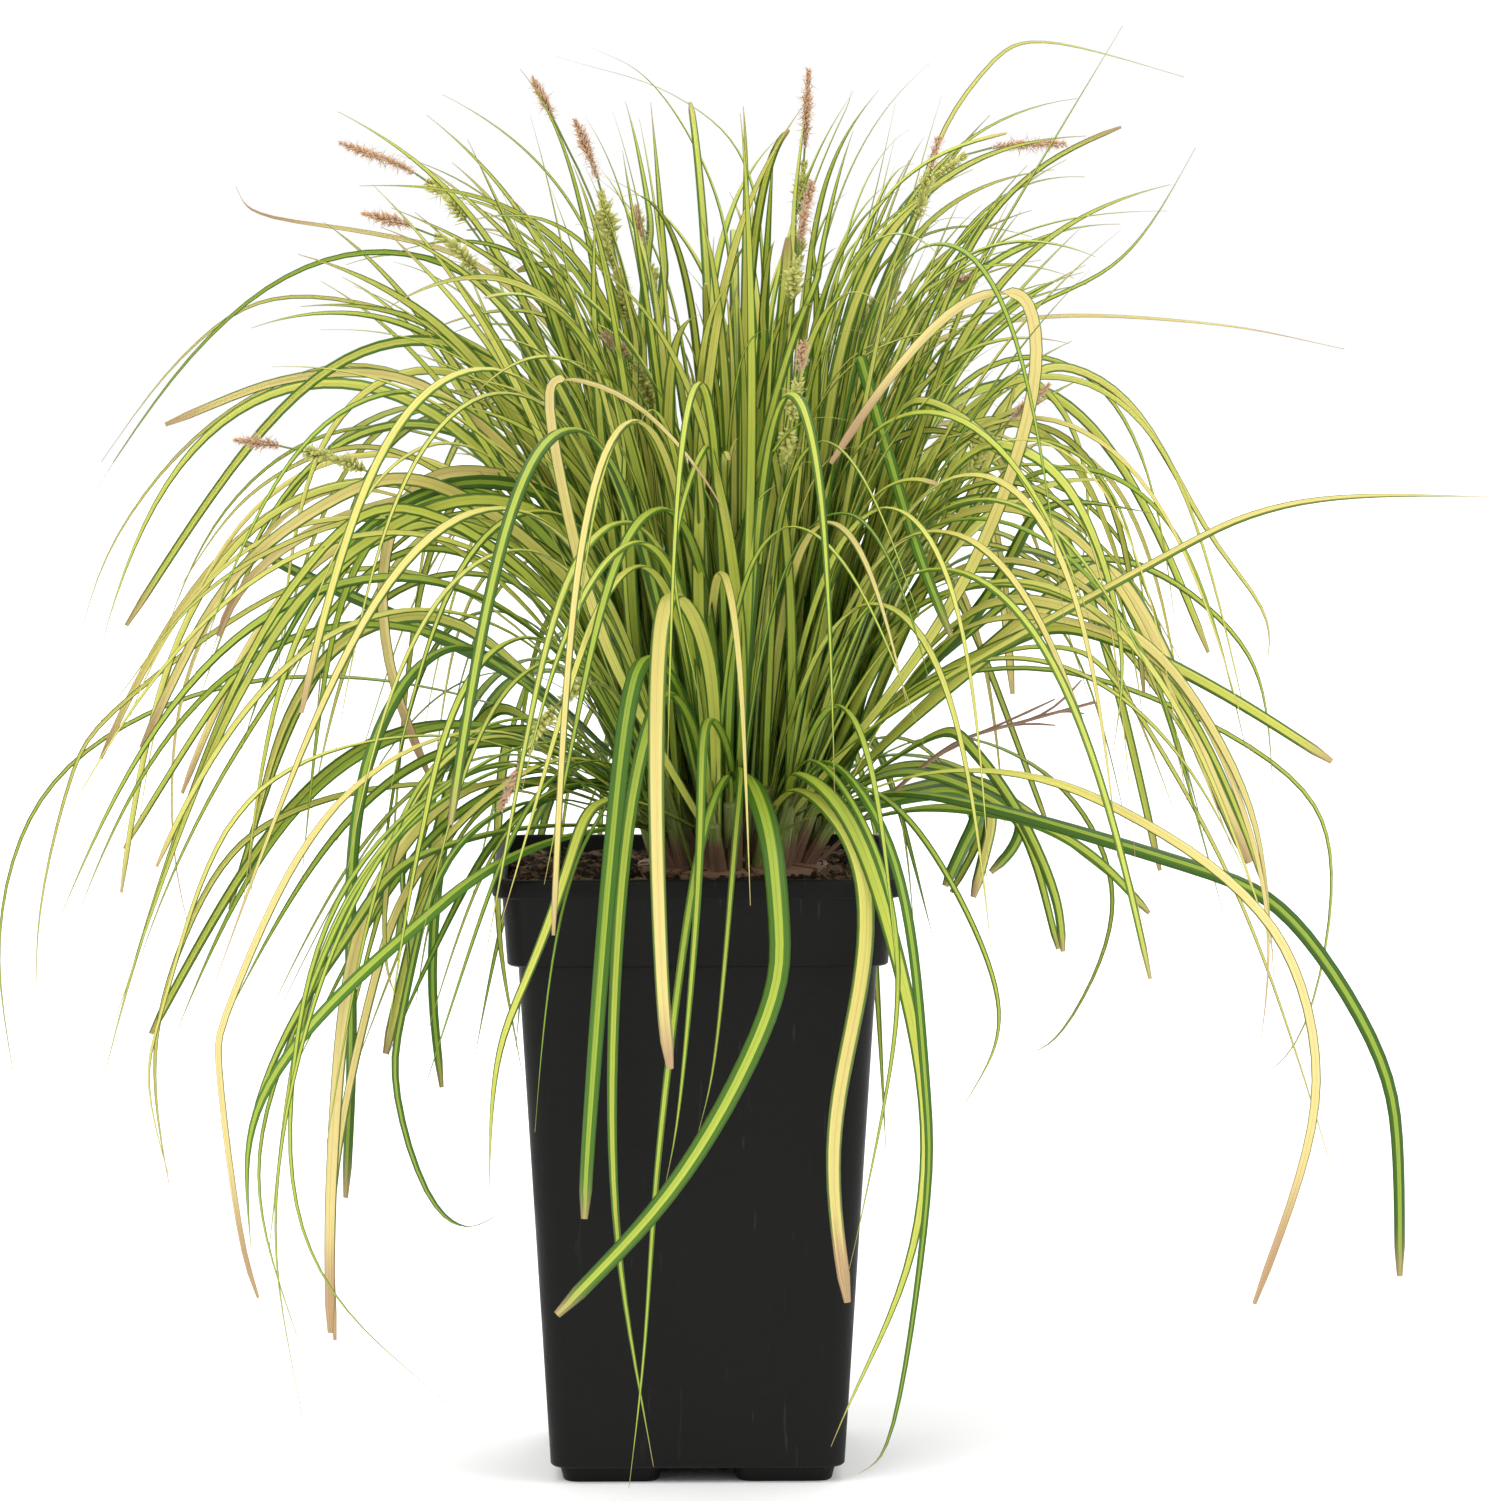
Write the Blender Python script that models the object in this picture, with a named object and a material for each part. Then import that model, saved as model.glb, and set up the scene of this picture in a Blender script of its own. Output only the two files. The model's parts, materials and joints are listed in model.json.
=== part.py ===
"""A variegated sedge in flower, growing in a square black nursery pot.

The origin is on the floor under the middle of the pot. X runs to the right, Y to the back and Z up.
The clump is one tuft for each of eight sectors round its crown, and the flower stems stand in the
narrow gaps between the sectors, so that no leaf crosses another tuft or a stem.
"""

import math
import random

import bmesh
import bpy
from mathutils import Matrix, Vector

MM = 0.001

# Pot, in millimetres
RIM_HALF = 76.0
RIM_BOTTOM = 223.0
POT_HEIGHT = 230.0
COLLAR_HALF_TOP = 72.4
COLLAR_HALF_BOTTOM = 70.6
LEDGE_HEIGHT = 197.0
BODY_HALF_TOP = 66.6
BODY_HALF_BOTTOM = 55.2
FOOT_HEIGHT = 6.0
FOOT_WIDTH = 39.0
FOOT_TAPER = 1.5
FOOT_INSET = 3.2
FLOOR_THICKNESS = 2.0
WALL = 1.4
CORNER_RADIUS = 9.0
DRAIN_RADIUS = 4.5
DRAIN_OFFSET = 26.0
TOUCH_GAP = 0.3

# Soil and crown, in millimetres
SOIL_EDGE_HEIGHT = 224.5
SOIL_MOUND = 2.5
SOIL_ROUGHNESS = 1.1
SOIL_CELLS = 12
SOIL_CORNER_RADIUS = 13.0
CROWN_X = 14.0
CROWN_RADIUS = 36.0
RECESS_DEPTH = 13.0
CROWN_TOP = 230.5

# Clump, in millimetres
STEM_GAP = 1.5
STEM_GAP_GROWTH = 0.012
LEFT_REACH = -238.0
RIGHT_REACH = 218.0
DEPTH_REACH = 250.0
TALLEST_LEAF = 530.0
RIM_CLEARANCE = 4.0
SHOOTS_PER_TUFT = 5
LEAVES_PER_TUFT = 20
LEAF_TRIES = 400
BEND_WEIGHT = 50.0
FINE_STEPS = 48
LEAF_SEGMENTS = 5
STANDING_OUT_SEGMENTS = 7
THINNEST = 0.8

# Sector edges round the crown, in degrees anticlockwise from the right, and the lowest that the
# ordinary leaves of each tuft hang, in millimetres
TUFTS = {
    "tuft_front": (-125.0, -78.5, 205.0),
    "tuft_front_right": (-78.5, -31.0, 200.0),
    "tuft_right": (-31.0, 18.0, 200.0),
    "tuft_back_right": (18.0, 62.0, 170.0),
    "tuft_back": (62.0, 112.0, 90.0),
    "tuft_back_left": (112.0, 155.0, 130.0),
    "tuft_left": (155.0, 195.0, 140.0),
    "tuft_front_left": (195.0, 235.0, 110.0),
}

# The leaves that stand out. Each has its width, its end, its turn about its own length in degrees,
# and the points that it passes from the crown to its end, in millimetres.
STANDING_OUT = {
    "tuft_front": [
        (7.0, "cut", 10, [(-3, -48, 290), (-22, -95, 315), (-32, -125, 246), (-40, -140, 150), (-42, -140, 115)]),
        (5.7, "fine", -10, [(0, -42, 280), (-14, -78, 300), (-28, -104, 240), (-32, -120, 119), (-17, -115, 19)]),
        (7.0, "cut", 5, [(5, -60, 310), (-12, -110, 340), (-16, -135, 282), (-14, -150, 202), (-11, -150, 171)]),
        (3.6, "fine", 0, [(12, -50, 268), (-1, -94, 240), (-15, -118, 137), (-20, -120, 65), (-26, -120, 12)]),
        (4.3, "fine", 15, [(12, -45, 275), (2, -80, 290), (0, -107, 235), (-7, -115, 154), (-13, -115, 121)]),
        (3.2, "fine", -15, [(16, -48, 270), (13, -91, 243), (6, -108, 171), (-1, -108, 139)]),
        (8.5, "cut", 5, [(22, -48, 268), (28, -94, 252), (31, -110, 225), (27, -120, 190), (-7, -130, 127),
                         (-52, -135, 79)]),
        (4.7, "fine", 30, [(-21, -60, 289), (-40, -90, 333), (-55, -115, 407), (-49, -118, 418),
                           (-21, -110, 408), (4, -105, 378), (12, -100, 361)]),
        (3.8, "fine", 20, [(12, -40, 330), (6, -80, 396), (-10, -108, 355), (-3, -115, 315), (1, -115, 296)]),
    ],
    "tuft_front_right": [
        (5.2, "fine", 50, [(75, -60, 293), (162, -125, 350), (196, -150, 370), (230, -170, 378), (280, -190, 379)]),
        (4.0, "cut", 45, [(75, -60, 267), (110, -100, 273), (143, -140, 268), (198, -205, 237),
                          (213, -235, 192), (209, -250, 156), (190, -256, 104)]),
        (5.0, "cut", -35, [(96, -70, 331), (122, -88, 405), (122, -92, 438), (114, -94, 448), (92, -95, 442),
                           (66, -95, 412), (48, -95, 385)]),
        (2.8, "fine", 20, [(60, -42, 262), (88, -64, 238), (112, -80, 181), (94, -76, 139)]),
        (6.4, "fine", 15, [(35, -48, 268), (56, -84, 254), (73, -106, 203), (83, -120, 144), (74, -125, 87),
                           (45, -125, 28)]),
        (7.0, "cut", -12, [(38, -48, 262), (58, -88, 243), (61, -99, 205), (50, -112, 153), (49, -112, 117),
                           (54, -112, 79)]),
        (3.0, "fine", 0, [(42, -50, 275), (66, -106, 242), (72, -130, 192), (61, -132, 127), (54, -132, 95)]),
        (4.2, "fine", 10, [(48, -55, 275), (73, -112, 240), (81, -140, 165), (82, -142, 122), (70, -140, 36),
                           (57, -140, 21)]),
        (5.6, "cut", 25, [(45, -50, 344), (58, -60, 416), (62, -64, 414), (79, -68, 356), (93, -74, 320)]),
        (6.0, "cut", 35, [(28, -27, 362), (34, -36, 465)]),
    ],
    "tuft_right": [
        (6.0, "cut", 45, [(75, -18, 290), (113, -30, 312), (141, -40, 321), (190, -56, 300), (234, -70, 273)]),
        (7.6, "cut", 60, [(80, 8, 280), (140, 16, 330), (159, 20, 336), (179, 24, 304), (192, 28, 270),
                          (213, 35, 223)]),
        (3.8, "fine", 35, [(80, -35, 305), (112, -50, 327), (157, -70, 320), (184, -85, 295), (205, -95, 242),
                           (209, -98, 202), (205, -98, 166)]),
        (6.0, "cut", 40, [(68, -28, 258), (112, -45, 253), (185, -70, 233), (217, -80, 220), (251, -90, 168),
                          (257, -95, 133), (258, -95, 85)]),
        (2.4, "fine", 30, [(100, 12, 300), (139, 18, 308), (162, 20, 293), (204, 20, 221), (230, 20, 152),
                           (249, 20, 90)]),
        (2.6, "fine", 40, [(80, 4, 380), (115, 8, 430), (153, 12, 449), (172, 14, 468), (189, 16, 497)]),
        (2.4, "fine", 45, [(70, 5, 400), (117, 12, 432), (194, 15, 431), (246, 16, 421)]),
        (2.2, "fine", 30, [(60, -14, 360), (84, -20, 416), (114, -25, 469), (158, -30, 543)]),
        (4.2, "cut", 40, [(77, 6, 262), (115, 10, 249), (128, 10, 230), (138, 10, 193)]),
    ],
    "tuft_back_right": [
        (3.6, "fine", 40, [(80, 40, 290), (119, 60, 320), (142, 60, 338), (177, 75, 335), (213, 86, 306),
                           (224, 88, 279), (227, 88, 240)]),
        (2.4, "fine", 30, [(70, 32, 285), (118, 52, 298), (169, 72, 288), (237, 95, 251), (253, 100, 211),
                           (241, 98, 145), (218, 96, 128)]),
        (2.4, "fine", 20, [(50, 22, 360), (71, 32, 425), (90, 38, 494), (111, 48, 526), (132, 54, 538),
                           (189, 72, 523)]),
        (4.0, "fine", 35, [(80, 32, 262), (118, 45, 249), (148, 54, 226), (175, 64, 203)]),
        (2.8, "fine", 15, [(90, 70, 270), (144, 110, 247), (168, 116, 198), (147, 112, 147), (127, 106, 137)]),
        (4.6, "cut", 20, [(70, 55, 262), (106, 84, 254), (113, 92, 230), (101, 90, 205)]),
        (3.4, "fine", 25, [(40, 26, 350), (54, 42, 425), (67, 46, 470), (77, 52, 513)]),
    ],
    "tuft_back": [
        (2.6, "fine", 15, [(16, 40, 350), (16, 60, 424), (10, 90, 477), (-16, 125, 522), (-44, 150, 534)]),
        (2.4, "fine", 20, [(24, 45, 350), (26, 90, 474), (-4, 140, 514), (-55, 186, 530)]),
        (4.4, "fine", -15, [(22, 70, 300), (30, 140, 318), (36, 200, 275), (38, 240, 190), (36, 258, 110)]),
        (5.0, "cut", 20, [(8, 60, 285), (0, 120, 290), (-8, 160, 245), (-12, 172, 170), (-12, 170, 120)]),
        (5.6, "cut", 10, [(34, 60, 280), (50, 100, 282), (58, 124, 230), (60, 132, 150), (56, 130, 95)]),
    ],
    "tuft_back_left": [
        (2.6, "fine", 40, [(-40, 30, 270), (-94, 62, 288), (-160, 118, 289), (-218, 160, 270), (-262, 182, 236),
                           (-279, 190, 188), (-279, 190, 148), (-271, 186, 103)]),
        (2.6, "fine", 35, [(-60, 60, 330), (-142, 98, 367), (-197, 125, 297), (-206, 128, 225), (-196, 124, 174)]),
        (2.6, "fine", 35, [(-40, 42, 350), (-115, 82, 413), (-182, 120, 393), (-228, 145, 342), (-246, 152, 291)]),
        (5.0, "cut", 20, [(-30, 60, 285), (-70, 110, 290), (-95, 140, 240), (-104, 150, 170), (-100, 146, 120)]),
    ],
    "tuft_left": [
        (2.8, "fine", 40, [(-70, 24, 320), (-140, 40, 338), (-222, 60, 282), (-241, 62, 253), (-254, 62, 198),
                           (-254, 62, 158)]),
        (3.4, "fine", 40, [(-50, -6, 320), (-111, -14, 351), (-167, -20, 281), (-196, -22, 228), (-212, -24, 186)]),
        (2.6, "fine", 35, [(-30, 18, 360), (-75, 32, 419), (-153, 44, 442), (-196, 56, 417), (-229, 60, 374)]),
        (4.4, "cut", 45, [(-45, -8, 350), (-96, -14, 407), (-148, -18, 413), (-198, -20, 395)]),
        (3.0, "fine", 40, [(-50, 6, 330), (-112, 14, 384), (-166, 20, 369), (-202, 22, 321)]),
        (3.4, "fine", 40, [(-30, 14, 390), (-75, 26, 449), (-119, 34, 464), (-165, 38, 471), (-174, 38, 482)]),
    ],
    "tuft_front_left": [
        (5.2, "cut", 45, [(-40, -32, 330), (-99, -62, 378), (-140, -75, 367), (-175, -78, 337), (-204, -80, 280)]),
        (4.4, "fine", 40, [(-50, -50, 330), (-109, -80, 371), (-144, -98, 346), (-173, -100, 296),
                           (-203, -102, 213), (-219, -102, 155)]),
        (2.8, "fine", 30, [(-80, -80, 285), (-161, -138, 273), (-192, -150, 195), (-198, -152, 163),
                           (-187, -150, 119)]),
        (3.2, "cut", 25, [(-70, -90, 290), (-131, -160, 270), (-167, -180, 199), (-171, -182, 176),
                          (-164, -180, 116), (-158, -176, 93)]),
        (2.8, "fine", 20, [(-60, -62, 275), (-115, -106, 246), (-143, -120, 191), (-162, -122, 127),
                           (-142, -118, 54)]),
        (4.0, "cut", 25, [(-50, -44, 275), (-102, -82, 237), (-121, -90, 187), (-135, -92, 117), (-134, -92, 62)]),
        (2.4, "fine", 15, [(-50, -85, 285), (-105, -150, 262), (-137, -188, 202), (-152, -192, 123),
                           (-142, -188, 52)]),
        (2.4, "fine", 15, [(-70, -95, 280), (-130, -160, 237), (-147, -180, 152), (-133, -170, 94),
                           (-90, -138, 46)]),
        (3.6, "fine", 20, [(-55, -58, 262), (-94, -100, 243), (-107, -110, 189), (-112, -110, 163),
                           (-102, -108, 123), (-86, -108, 104), (-62, -108, 118)]),
        (4.6, "fine", 25, [(-35, -24, 262), (-72, -40, 246), (-100, -52, 197), (-116, -54, 160)]),
        (3.2, "fine", 40, [(-45, -34, 320), (-103, -62, 365), (-174, -82, 343), (-218, -92, 291)]),
    ],
}

# The flower stems. Each has the sector edge that it stands on, its route as distance from the crown's
# axis and height, the length of its brown end spike, and where its green spikes start below that and
# how long they are, all in millimetres.
FLOWER_STEMS = [
    (155.0, [(14, 217), (48, 380), (105, 461), (130, 485), (165, 498)], 34.0, [(6, 22), (44, 18)]),
    (155.0, [(8, 217), (28, 360), (52, 460), (74, 507), (83, 523)], 18.0, [(40, 20)]),
    (155.0, [(21, 217), (62, 320), (98, 380), (114, 410)], 22.0, [(14, 16)]),
    (195.0, [(14, 217), (50, 360), (98, 450), (122, 468), (142, 474)], 19.0, [(10, 20)]),
    (195.0, [(8, 217), (26, 360), (44, 450), (52, 485), (61, 508)], 24.0, [(5, 20), (34, 18)]),
    (195.0, [(22, 217), (70, 318), (110, 360), (142, 379), (172, 388), (191, 391)], 17.0, [(8, 26)]),
    (62.0, [(9, 217), (30, 340), (52, 440), (60, 492), (64, 526)], 30.0, [(6, 20), (34, 16)]),
    (62.0, [(19, 217), (60, 340), (112, 425), (149, 450)], 16.0, [(12, 18)]),
    (-78.5, [(9, 217), (36, 340), (80, 420), (112, 465), (130, 488)], 28.0, [(8, 18)]),
    (-78.5, [(20, 217), (52, 320), (92, 392), (110, 416), (120, 430)], 13.0, [(5, 18), (28, 16)]),
    (18.0, [(9, 217), (30, 370), (62, 466), (90, 492), (106, 497), (134, 498)], 30.0, [(12, 18)]),
    (18.0, [(15, 217), (38, 340), (66, 420), (84, 443), (99, 448)], 16.0, [(8, 16)]),
    (-31.0, [(9, 217), (34, 360), (66, 440), (80, 476), (88, 502)], 12.0, [(2, 18)]),
    (-31.0, [(18, 217), (60, 320), (104, 384), (134, 412)], 20.0, [(10, 18)]),
    (235.0, [(14, 217), (34, 320), (53, 402), (70, 422), (85, 431)], 17.0, [(6, 20)]),
    (235.0, [(21, 217), (56, 280), (90, 303), (122, 292), (150, 262)], 20.0, [(6, 22), (34, 18)]),
    (112.0, [(11, 217), (36, 340), (72, 430), (96, 473)], 16.0, [(10, 18)]),
]
DEAD_STEM = (18.0, [(24, 217), (50, 240), (72, 258), (92, 271), (120, 278), (147, 284)])
CULM_RADIUS = 0.75
CULM_SEGMENTS = 7
STEM_SIDES = 5
GREEN_SPIKE_RADIUS = 2.3
BROWN_SPIKE_RADIUS = 1.7
SPIKE_ROWS = 5

LEAF_GREEN = (0.16, 0.27, 0.045)
COLLECTION_NAME = "carex_sedge_in_pot"


def clear_scene():
    for obj in list(bpy.data.objects):
        bpy.data.objects.remove(obj, do_unlink=True)
    for collection in list(bpy.data.collections):
        bpy.data.collections.remove(collection)


def new_collection(name):
    collection = bpy.data.collections.new(name)
    bpy.context.scene.collection.children.link(collection)
    return collection


def principled(name, colour, roughness, metallic=0.0):
    material = bpy.data.materials.new(name)
    material.use_nodes = True
    shader = material.node_tree.nodes["Principled BSDF"]
    shader.inputs["Base Color"].default_value = (*colour, 1.0)
    shader.inputs["Roughness"].default_value = roughness
    shader.inputs["Metallic"].default_value = metallic
    return material


def object_from(bm, name, collection, material=None):
    mesh = bpy.data.meshes.new(name)
    bm.to_mesh(mesh)
    bm.free()
    if material:
        mesh.materials.append(material)
    obj = bpy.data.objects.new(name, mesh)
    collection.objects.link(obj)
    return obj


def apply_modifiers(obj):
    graph = bpy.context.evaluated_depsgraph_get()
    mesh = bpy.data.meshes.new_from_object(obj.evaluated_get(graph))
    obj.modifiers.clear()
    obj.data = mesh


def combine(obj, helpers, operation, solver):
    """Joins or cuts the object with every helper in one Boolean, and removes the helpers."""
    boolean = obj.modifiers.new(operation.lower(), "BOOLEAN")
    boolean.operation = operation
    boolean.operand_type = "COLLECTION"
    boolean.collection = helpers
    boolean.solver = solver
    apply_modifiers(obj)
    for helper in list(helpers.objects):
        bpy.data.objects.remove(helper, do_unlink=True)
    bpy.data.collections.remove(helpers)


def helper_collection(name):
    collection = new_collection(name)
    collection.hide_render = True
    return collection


def helper_from(bm, name, collection):
    obj = object_from(bm, name, collection)
    obj.hide_render = True
    obj.display_type = "WIRE"
    return obj


def tapered_block(half_bottom, half_top, bottom, top, radius, centre=(0.0, 0.0)):
    """A square block with rounded upright edges whose sides lean, with sizes in millimetres."""
    bm = bmesh.new()
    bmesh.ops.create_cube(bm, size=2.0)
    upright = [e for e in bm.edges if abs(e.verts[0].co.z - e.verts[1].co.z) > 1.0]
    for vert in bm.verts:
        half = half_top if vert.co.z > 0 else half_bottom
        height = top if vert.co.z > 0 else bottom
        vert.co = Vector((centre[0] + vert.co.x * half, centre[1] + vert.co.y * half, height)) * MM
    bmesh.ops.bevel(bm, geom=upright, offset=radius * MM, segments=3, profile=0.5, affect="EDGES")
    return bm


def upright_cylinder(radius, bottom, top, centre, sides):
    bm = bmesh.new()
    middle = Vector((centre[0], centre[1], (bottom + top) / 2)) * MM
    bmesh.ops.create_cone(
        bm,
        cap_ends=True,
        segments=sides,
        radius1=radius * MM,
        radius2=radius * MM,
        depth=(top - bottom) * MM,
        matrix=Matrix.Translation(middle),
    )
    return bm


def body_half_at(height):
    """Half the width of the pot's lower body at a height."""
    share = (height - FOOT_HEIGHT) / (LEDGE_HEIGHT - FOOT_HEIGHT)
    return BODY_HALF_BOTTOM + share * (BODY_HALF_TOP - BODY_HALF_BOTTOM)


def collar_half_at(height):
    """Half the width of the pot's collar at a height."""
    share = (height - LEDGE_HEIGHT) / (RIM_BOTTOM - LEDGE_HEIGHT)
    return COLLAR_HALF_BOTTOM + share * (COLLAR_HALF_TOP - COLLAR_HALF_BOTTOM)


def make_pot(parts):
    """The shell: tapered body, wider collar on a ledge, turned rim, four feet and a drained floor."""
    overlap = 1.0
    material = principled("pot_black_plastic", (0.012, 0.012, 0.011), 0.42)
    body = tapered_block(BODY_HALF_BOTTOM, BODY_HALF_TOP, FOOT_HEIGHT, LEDGE_HEIGHT + overlap, CORNER_RADIUS)
    pot = object_from(body, "pot", parts, material)

    added = helper_collection("pot_added")
    collar = tapered_block(COLLAR_HALF_BOTTOM, COLLAR_HALF_TOP, LEDGE_HEIGHT, RIM_BOTTOM + overlap, CORNER_RADIUS)
    helper_from(collar, "collar", added)
    rim = tapered_block(RIM_HALF, RIM_HALF, RIM_BOTTOM, POT_HEIGHT, CORNER_RADIUS + 2.0)
    bmesh.ops.bevel(
        rim,
        geom=[e for e in rim.edges if abs(e.verts[0].co.z - e.verts[1].co.z) < 0.1 * MM],
        offset=0.8 * MM,
        segments=1,
        affect="EDGES",
    )
    helper_from(rim, "rim", added)
    foot_centre = BODY_HALF_BOTTOM - FOOT_INSET - FOOT_WIDTH / 2
    for side_x in (-1, 1):
        for side_y in (-1, 1):
            centre = (side_x * foot_centre, side_y * foot_centre)
            half = FOOT_WIDTH / 2
            foot = tapered_block(half - FOOT_TAPER, half, 0.0, FOOT_HEIGHT + overlap, 6.0, centre)
            helper_from(foot, "foot", added)
    combine(pot, added, "UNION", "EXACT")

    cut = helper_collection("pot_cut")
    floor_top = FOOT_HEIGHT + FLOOR_THICKNESS
    inside_low = tapered_block(
        body_half_at(floor_top) - WALL,
        body_half_at(LEDGE_HEIGHT + 3.0) - WALL,
        floor_top,
        LEDGE_HEIGHT + 3.0,
        CORNER_RADIUS - WALL,
    )
    helper_from(inside_low, "inside_low", cut)
    ledge_top = LEDGE_HEIGHT + WALL
    inside_high = tapered_block(
        collar_half_at(ledge_top) - WALL,
        collar_half_at(POT_HEIGHT + 5.0) - WALL,
        ledge_top,
        POT_HEIGHT + 5.0,
        CORNER_RADIUS - WALL,
    )
    helper_from(inside_high, "inside_high", cut)
    for x, y in ((0, 0), (1, 0), (-1, 0), (0, 1), (0, -1)):
        centre = (x * DRAIN_OFFSET * 1.5, y * DRAIN_OFFSET * 1.5)
        hole = upright_cylinder(DRAIN_RADIUS, FOOT_HEIGHT - 5.0, floor_top + 5.0, centre, 12)
        helper_from(hole, "drain_hole", cut)
    combine(pot, cut, "DIFFERENCE", "EXACT")
    return pot


def soil_height(x, y):
    """Height of the soil's rough, slightly mounded top, in millimetres."""
    away = math.hypot(x - CROWN_X, y) / RIM_HALF
    mound = SOIL_MOUND * max(0.0, 1.0 - away * away)
    crumbs = math.sin(0.31 * x + 1.3) * math.sin(0.27 * y + 0.4) + 0.6 * math.sin(0.53 * x - 0.47 * y)
    return SOIL_EDGE_HEIGHT + mound + SOIL_ROUGHNESS * crumbs * 0.6


def rounded_square(x, y, half, radius):
    """Moves a point of a square grid so that the grid's corners are round."""
    inner = half - radius
    past_x = abs(x) - inner
    past_y = abs(y) - inner
    if past_x <= 0 or past_y <= 0:
        return x, y
    shrink = max(past_x, past_y) / math.hypot(past_x, past_y)
    return (
        math.copysign(inner + past_x * shrink, x),
        math.copysign(inner + past_y * shrink, y),
    )


def extrude_rim(bm, edges, scale_from, scale_to, height):
    """Carries an open rim on to a new half width and height, and gives the new rim's edges."""
    made = bmesh.ops.extrude_edge_only(bm, edges=edges)["geom"]
    for vert in (g for g in made if isinstance(g, bmesh.types.BMVert)):
        vert.co.x *= scale_to / scale_from
        vert.co.y *= scale_to / scale_from
        vert.co.z = height * MM
    return [g for g in made if isinstance(g, bmesh.types.BMEdge)]


def make_soil(parts):
    """The root ball: it fills the pot down to the floor and has a plain round recess for the crown."""
    material = principled("soil_dark_peat", (0.045, 0.022, 0.012), 0.95)
    top_half = collar_half_at(SOIL_EDGE_HEIGHT - 3.0) - WALL - TOUCH_GAP
    bm = bmesh.new()
    bmesh.ops.create_grid(bm, x_segments=SOIL_CELLS, y_segments=SOIL_CELLS, size=top_half * MM)
    for vert in bm.verts:
        x, y = rounded_square(vert.co.x / MM, vert.co.y / MM, top_half, SOIL_CORNER_RADIUS)
        vert.co = Vector((x, y, soil_height(x, y))) * MM
    rim = [e for e in bm.edges if len(e.link_faces) == 1]
    ledge_top = LEDGE_HEIGHT + WALL + TOUCH_GAP
    ledge_half = collar_half_at(ledge_top) - WALL - TOUCH_GAP
    rim = extrude_rim(bm, rim, top_half, ledge_half, ledge_top)
    neck_half = body_half_at(LEDGE_HEIGHT) - WALL - TOUCH_GAP
    rim = extrude_rim(bm, rim, ledge_half, neck_half, ledge_top)
    floor_top = FOOT_HEIGHT + FLOOR_THICKNESS + TOUCH_GAP
    foot_half = body_half_at(floor_top) - WALL - TOUCH_GAP
    rim = extrude_rim(bm, rim, neck_half, foot_half, floor_top)
    bmesh.ops.contextual_create(bm, geom=rim)
    bmesh.ops.recalc_face_normals(bm, faces=bm.faces)
    soil = object_from(bm, "soil", parts, material)

    cut = helper_collection("soil_cut")
    recess = upright_cylinder(
        CROWN_RADIUS + 1.0,
        SOIL_EDGE_HEIGHT + SOIL_MOUND - RECESS_DEPTH,
        POT_HEIGHT + 10.0,
        (CROWN_X, 0.0),
        32,
    )
    helper_from(recess, "crown_recess", cut)
    combine(soil, cut, "DIFFERENCE", "EXACT")
    return soil


def crown_point(azimuth, distance, height):
    """A point round the crown's axis, from an angle in degrees and millimetres, in millimetres."""
    angle = math.radians(azimuth)
    return Vector((CROWN_X + distance * math.cos(angle), distance * math.sin(angle), height))


def kept_in_sector(point, sector, room):
    """Moves a point round or away from the crown's axis so that it keeps clear of the sector's edges."""
    low, high = sector
    middle = (low + high) / 2
    half = math.radians((high - low) / 2)
    out = Vector((point.x - CROWN_X, point.y))
    reach = (point - Vector((CROWN_X, 0.0, CROWN_TOP))).length
    margin = STEM_GAP + STEM_GAP_GROWTH * reach + room
    distance = max(out.length, 1.02 * margin / math.sin(half))
    turn = math.degrees(math.atan2(out.y, out.x)) - middle
    turn = (turn + 180.0) % 360.0 - 180.0
    most = math.degrees(half - math.asin(margin / distance))
    return crown_point(middle + max(-most, min(most, turn)), distance, point.z)


def smooth_through(points, steps):
    """Points along a smooth curve through the given ones."""
    padded = [2 * points[0] - points[1]] + points + [2 * points[-1] - points[-2]]
    per_span = max(4, steps // (len(points) - 1))
    curve = []
    for a, b, c, d in zip(padded, padded[1:], padded[2:], padded[3:]):
        for step in range(per_span):
            t = step / per_span
            curve.append(
                0.5 * ((2 * b) + (c - a) * t + (2 * a - 5 * b + 4 * c - d) * t * t
                       + (3 * b - a - 3 * c + d) * t * t * t)
            )
    curve.append(points[-1].copy())
    return curve


def arching(root, azimuth, leaf):
    """Points of a leaf that rises, bends over once and falls: its steepness changes round its arch."""
    point = root.copy()
    points = [root.copy()]
    step = leaf["length"] / FINE_STEPS
    for i in range(FINE_STEPS):
        along = (i + 0.5) / FINE_STEPS
        bent = 1.0 / (1.0 + math.exp(-(along - leaf["arch"]) / leaf["span"]))
        steepness = math.radians(leaf["rise"] + (leaf["fall"] - leaf["rise"]) * bent)
        heading = math.radians(azimuth + leaf["sweep"] * along)
        point = point + step * Vector(
            (
                math.cos(steepness) * math.cos(heading),
                math.cos(steepness) * math.sin(heading),
                math.sin(steepness),
            )
        )
        points.append(point.copy())
    return points


def thinned(points, segments):
    """The curve as a few straight runs, which are shortest where it bends most."""
    weights = [0.0]
    for i in range(1, len(points)):
        run = points[i] - points[i - 1]
        bend = run.angle(points[i - 1] - points[i - 2], 0.0) if i > 1 else 0.0
        weights.append(weights[-1] + run.length + BEND_WEIGHT * bend)
    kept = []
    i = 0
    for k in range(segments + 1):
        want = weights[-1] * k / segments
        while i < len(points) - 2 and weights[i + 1] < want:
            i += 1
        share = (want - weights[i]) / (weights[i + 1] - weights[i])
        kept.append(points[i].lerp(points[i + 1], max(0.0, min(1.0, share))))
    return kept


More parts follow.
